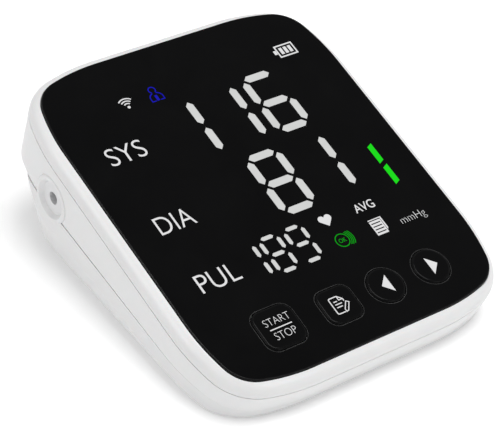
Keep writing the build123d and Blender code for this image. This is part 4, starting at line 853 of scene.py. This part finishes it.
# ---------------------------------------------------------------- air path, pump and valve
# Grey socket in the side of the case, clear silicone tubes, and the pump's mouldings.
socket_grey = moulded("socket_grey", (0.70, 0.70, 0.71), (0.74, 0.74, 0.74), 0.34, 2600.0, 0.12)
silicone = moulded("silicone", (0.80, 0.80, 0.77), (0.85, 0.85, 0.82), 0.35, 1400.0, 0.15)
let_light_in(silicone, 0.4, 0.002)
pump_plastic = moulded("pump_plastic", (0.06, 0.065, 0.07), (0.12, 0.12, 0.12), 0.45, 2600.0, 0.25)
pump_rubber = moulded("pump_rubber", (0.02, 0.02, 0.02), (0.04, 0.04, 0.04), 0.75, 1500.0, 0.4)
clad(socket_grey, "air_socket")
clad(silicone, "air_tubes")
clad(pump_plastic, "air_manifold", "pump_body", "pump_head", "pump_crank")
clad(pump_rubber, "pump_diaphragm", "pump_saddle")

# ---------------------------------------------------------------- battery door
# The door has a row of grip ridges by its latch and an arrow that points at the thumb
# recess. They stand out less than the feet do.
door_low, door_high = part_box("battery_door")
door_place = Matrix.Translation((0.0, door_high[1], door_low[2])) @ Matrix.Rotation(math.pi, 4, "X")
RIDGES = 5
FIRST_RIDGE = 10.0
RIDGE_PITCH = 1.6
ridge_mesh = bpy.data.meshes.new("door_ridges")
ridge_mesh.from_pydata([(0.0, FIRST_RIDGE + RIDGE_PITCH * i, 0.0) for i in range(RIDGES)], [], [])
ridge_mesh.attributes.new("turn", "FLOAT", "POINT")
ridge_sizes = {"Length": 15.0, "Width": 0.8, "Height": 0.00025, "Finish": white_shell}
ridges_mesh = evaluated("door_ridges", ridge_mesh, bar_group, ridge_sizes)
ridges_mesh.transform(door_place @ Matrix.Diagonal((MM, MM, 1.0, 1.0)))
door_ridges = bpy.data.objects.new("door_ridges", ridges_mesh)
bpy.context.scene.collection.objects.link(door_ridges)
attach(door_ridges, "door")

ARROW_HEIGHT = 0.0002
ARROW_CORNERS = ((-2.2, 22.0, 0.0), (2.2, 22.0, 0.0), (0.0, 19.0, 0.0))
arrow = bmesh.new()
arrow_face = arrow.faces.new([arrow.verts.new(corner) for corner in ARROW_CORNERS])
raised_arrow = bmesh.ops.extrude_face_region(arrow, geom=[arrow_face])
arrow_top = [part for part in raised_arrow["geom"] if isinstance(part, bmesh.types.BMVert)]
bmesh.ops.translate(arrow, verts=arrow_top, vec=(0.0, 0.0, ARROW_HEIGHT))
bmesh.ops.recalc_face_normals(arrow, faces=arrow.faces)
arrow_mesh = bpy.data.meshes.new("door_arrow")
arrow.to_mesh(arrow_mesh)
arrow.free()
arrow_mesh.transform(door_place @ Matrix.Diagonal((MM, MM, 1.0, 1.0)))
arrow_mesh.materials.append(white_shell)
door_arrow = bpy.data.objects.new("door_arrow", arrow_mesh)
bpy.context.scene.collection.objects.link(door_arrow)
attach(door_arrow, "door")

# ---------------------------------------------------------------- feet
# Four grey rubber discs let into the base.
rubber_grey = moulded("rubber_grey", (0.22, 0.22, 0.225), (0.3, 0.3, 0.3), 0.8, 1500.0, 0.45)
clad(rubber_grey, "rubber_feet")

# ---------------------------------------------------------------- studio
# A broad white floor under soft light from all round, brighter from above and the left.
FLOOR_HALF = 4.0
floor_mesh = bpy.data.meshes.new("floor")
floor_corners = [(x * FLOOR_HALF, y * FLOOR_HALF, 0.0) for x, y in ((-1, -1), (1, -1), (1, 1), (-1, 1))]
floor_mesh.from_pydata(floor_corners, [], [(0, 1, 2, 3)])
floor = bpy.data.objects.new("floor", floor_mesh)
bpy.context.scene.collection.objects.link(floor)
floor_white = bpy.data.materials.new("floor_white")
floor_white.use_nodes = True
floor_tree = floor_white.node_tree
floor_shader = floor_tree.nodes["Principled BSDF"]
floor_places = floor_tree.nodes.new("ShaderNodeTexCoord")
floor_patches = use_group(floor_tree, handled_patches, floor_places, {"Scale": 3.0})
PAPER = (0.93, 0.93, 0.93)
PAPER_WORN = (0.92, 0.92, 0.92)
floor_colour = mixed_colour(floor_tree, floor_patches.outputs["Mask"], PAPER, PAPER_WORN)
floor_tree.links.new(floor_colour, floor_shader.inputs["Base Color"])
floor_shader.inputs["Roughness"].default_value = 0.9
floor_shader.inputs["Emission Color"].default_value = (1.0, 1.0, 1.0, 1.0)
floor_shader.inputs["Emission Strength"].default_value = 0.16
floor_shader.inputs["Specular IOR Level"].default_value = 0.1
floor_mesh.materials.append(floor_white)

world = bpy.data.worlds.new("studio")
world.use_nodes = True
world.node_tree.nodes["Background"].inputs["Color"].default_value = (1.0, 1.0, 1.0, 1.0)
world.node_tree.nodes["Background"].inputs["Strength"].default_value = 0.42
bpy.context.scene.world = world


def soft_box(name, place, size, power):
    """A square soft light aimed at the middle of the case."""
    light = bpy.data.lights.new(name, "AREA")
    light.shape = "SQUARE"
    light.size = size
    light.energy = power
    lamp = bpy.data.objects.new(name, light)
    bpy.context.scene.collection.objects.link(lamp)
    lamp.location = place
    aim = Vector((0.0, 0.0, 0.03)) - Vector(place)
    lamp.rotation_euler = aim.to_track_quat("-Z", "Y").to_euler()


soft_box("overhead_light", (0.1, -0.15, 1.2), 0.7, 9.5)
soft_box("left_light", (-1.0, 0.25, 0.75), 0.5, 2.4)
soft_box("front_light", (0.3, -1.1, 0.6), 0.6, 2.0)

camera_data = bpy.data.cameras.new("camera")
camera_data.sensor_fit = "HORIZONTAL"
camera_data.sensor_width = 36.0
camera_data.lens = 145.387
camera = bpy.data.objects.new("camera", camera_data)
bpy.context.scene.collection.objects.link(camera)
# the camera looks down on the front left corner from about 0.6 m away
camera_right = Vector((0.79698, -0.59709, 0.09115)).normalized()
camera_forward = Vector((0.52023, 0.60188, -0.60589)).normalized()
camera_up = camera_right.cross(camera_forward).normalized()
camera_turn = Matrix((camera_right, camera_up, -camera_forward)).transposed().to_4x4()
camera.matrix_world = Matrix.Translation((-0.3206, -0.36897, 0.38814)) @ camera_turn
bpy.context.scene.camera = camera
bpy.context.scene.view_settings.view_transform = "Standard"
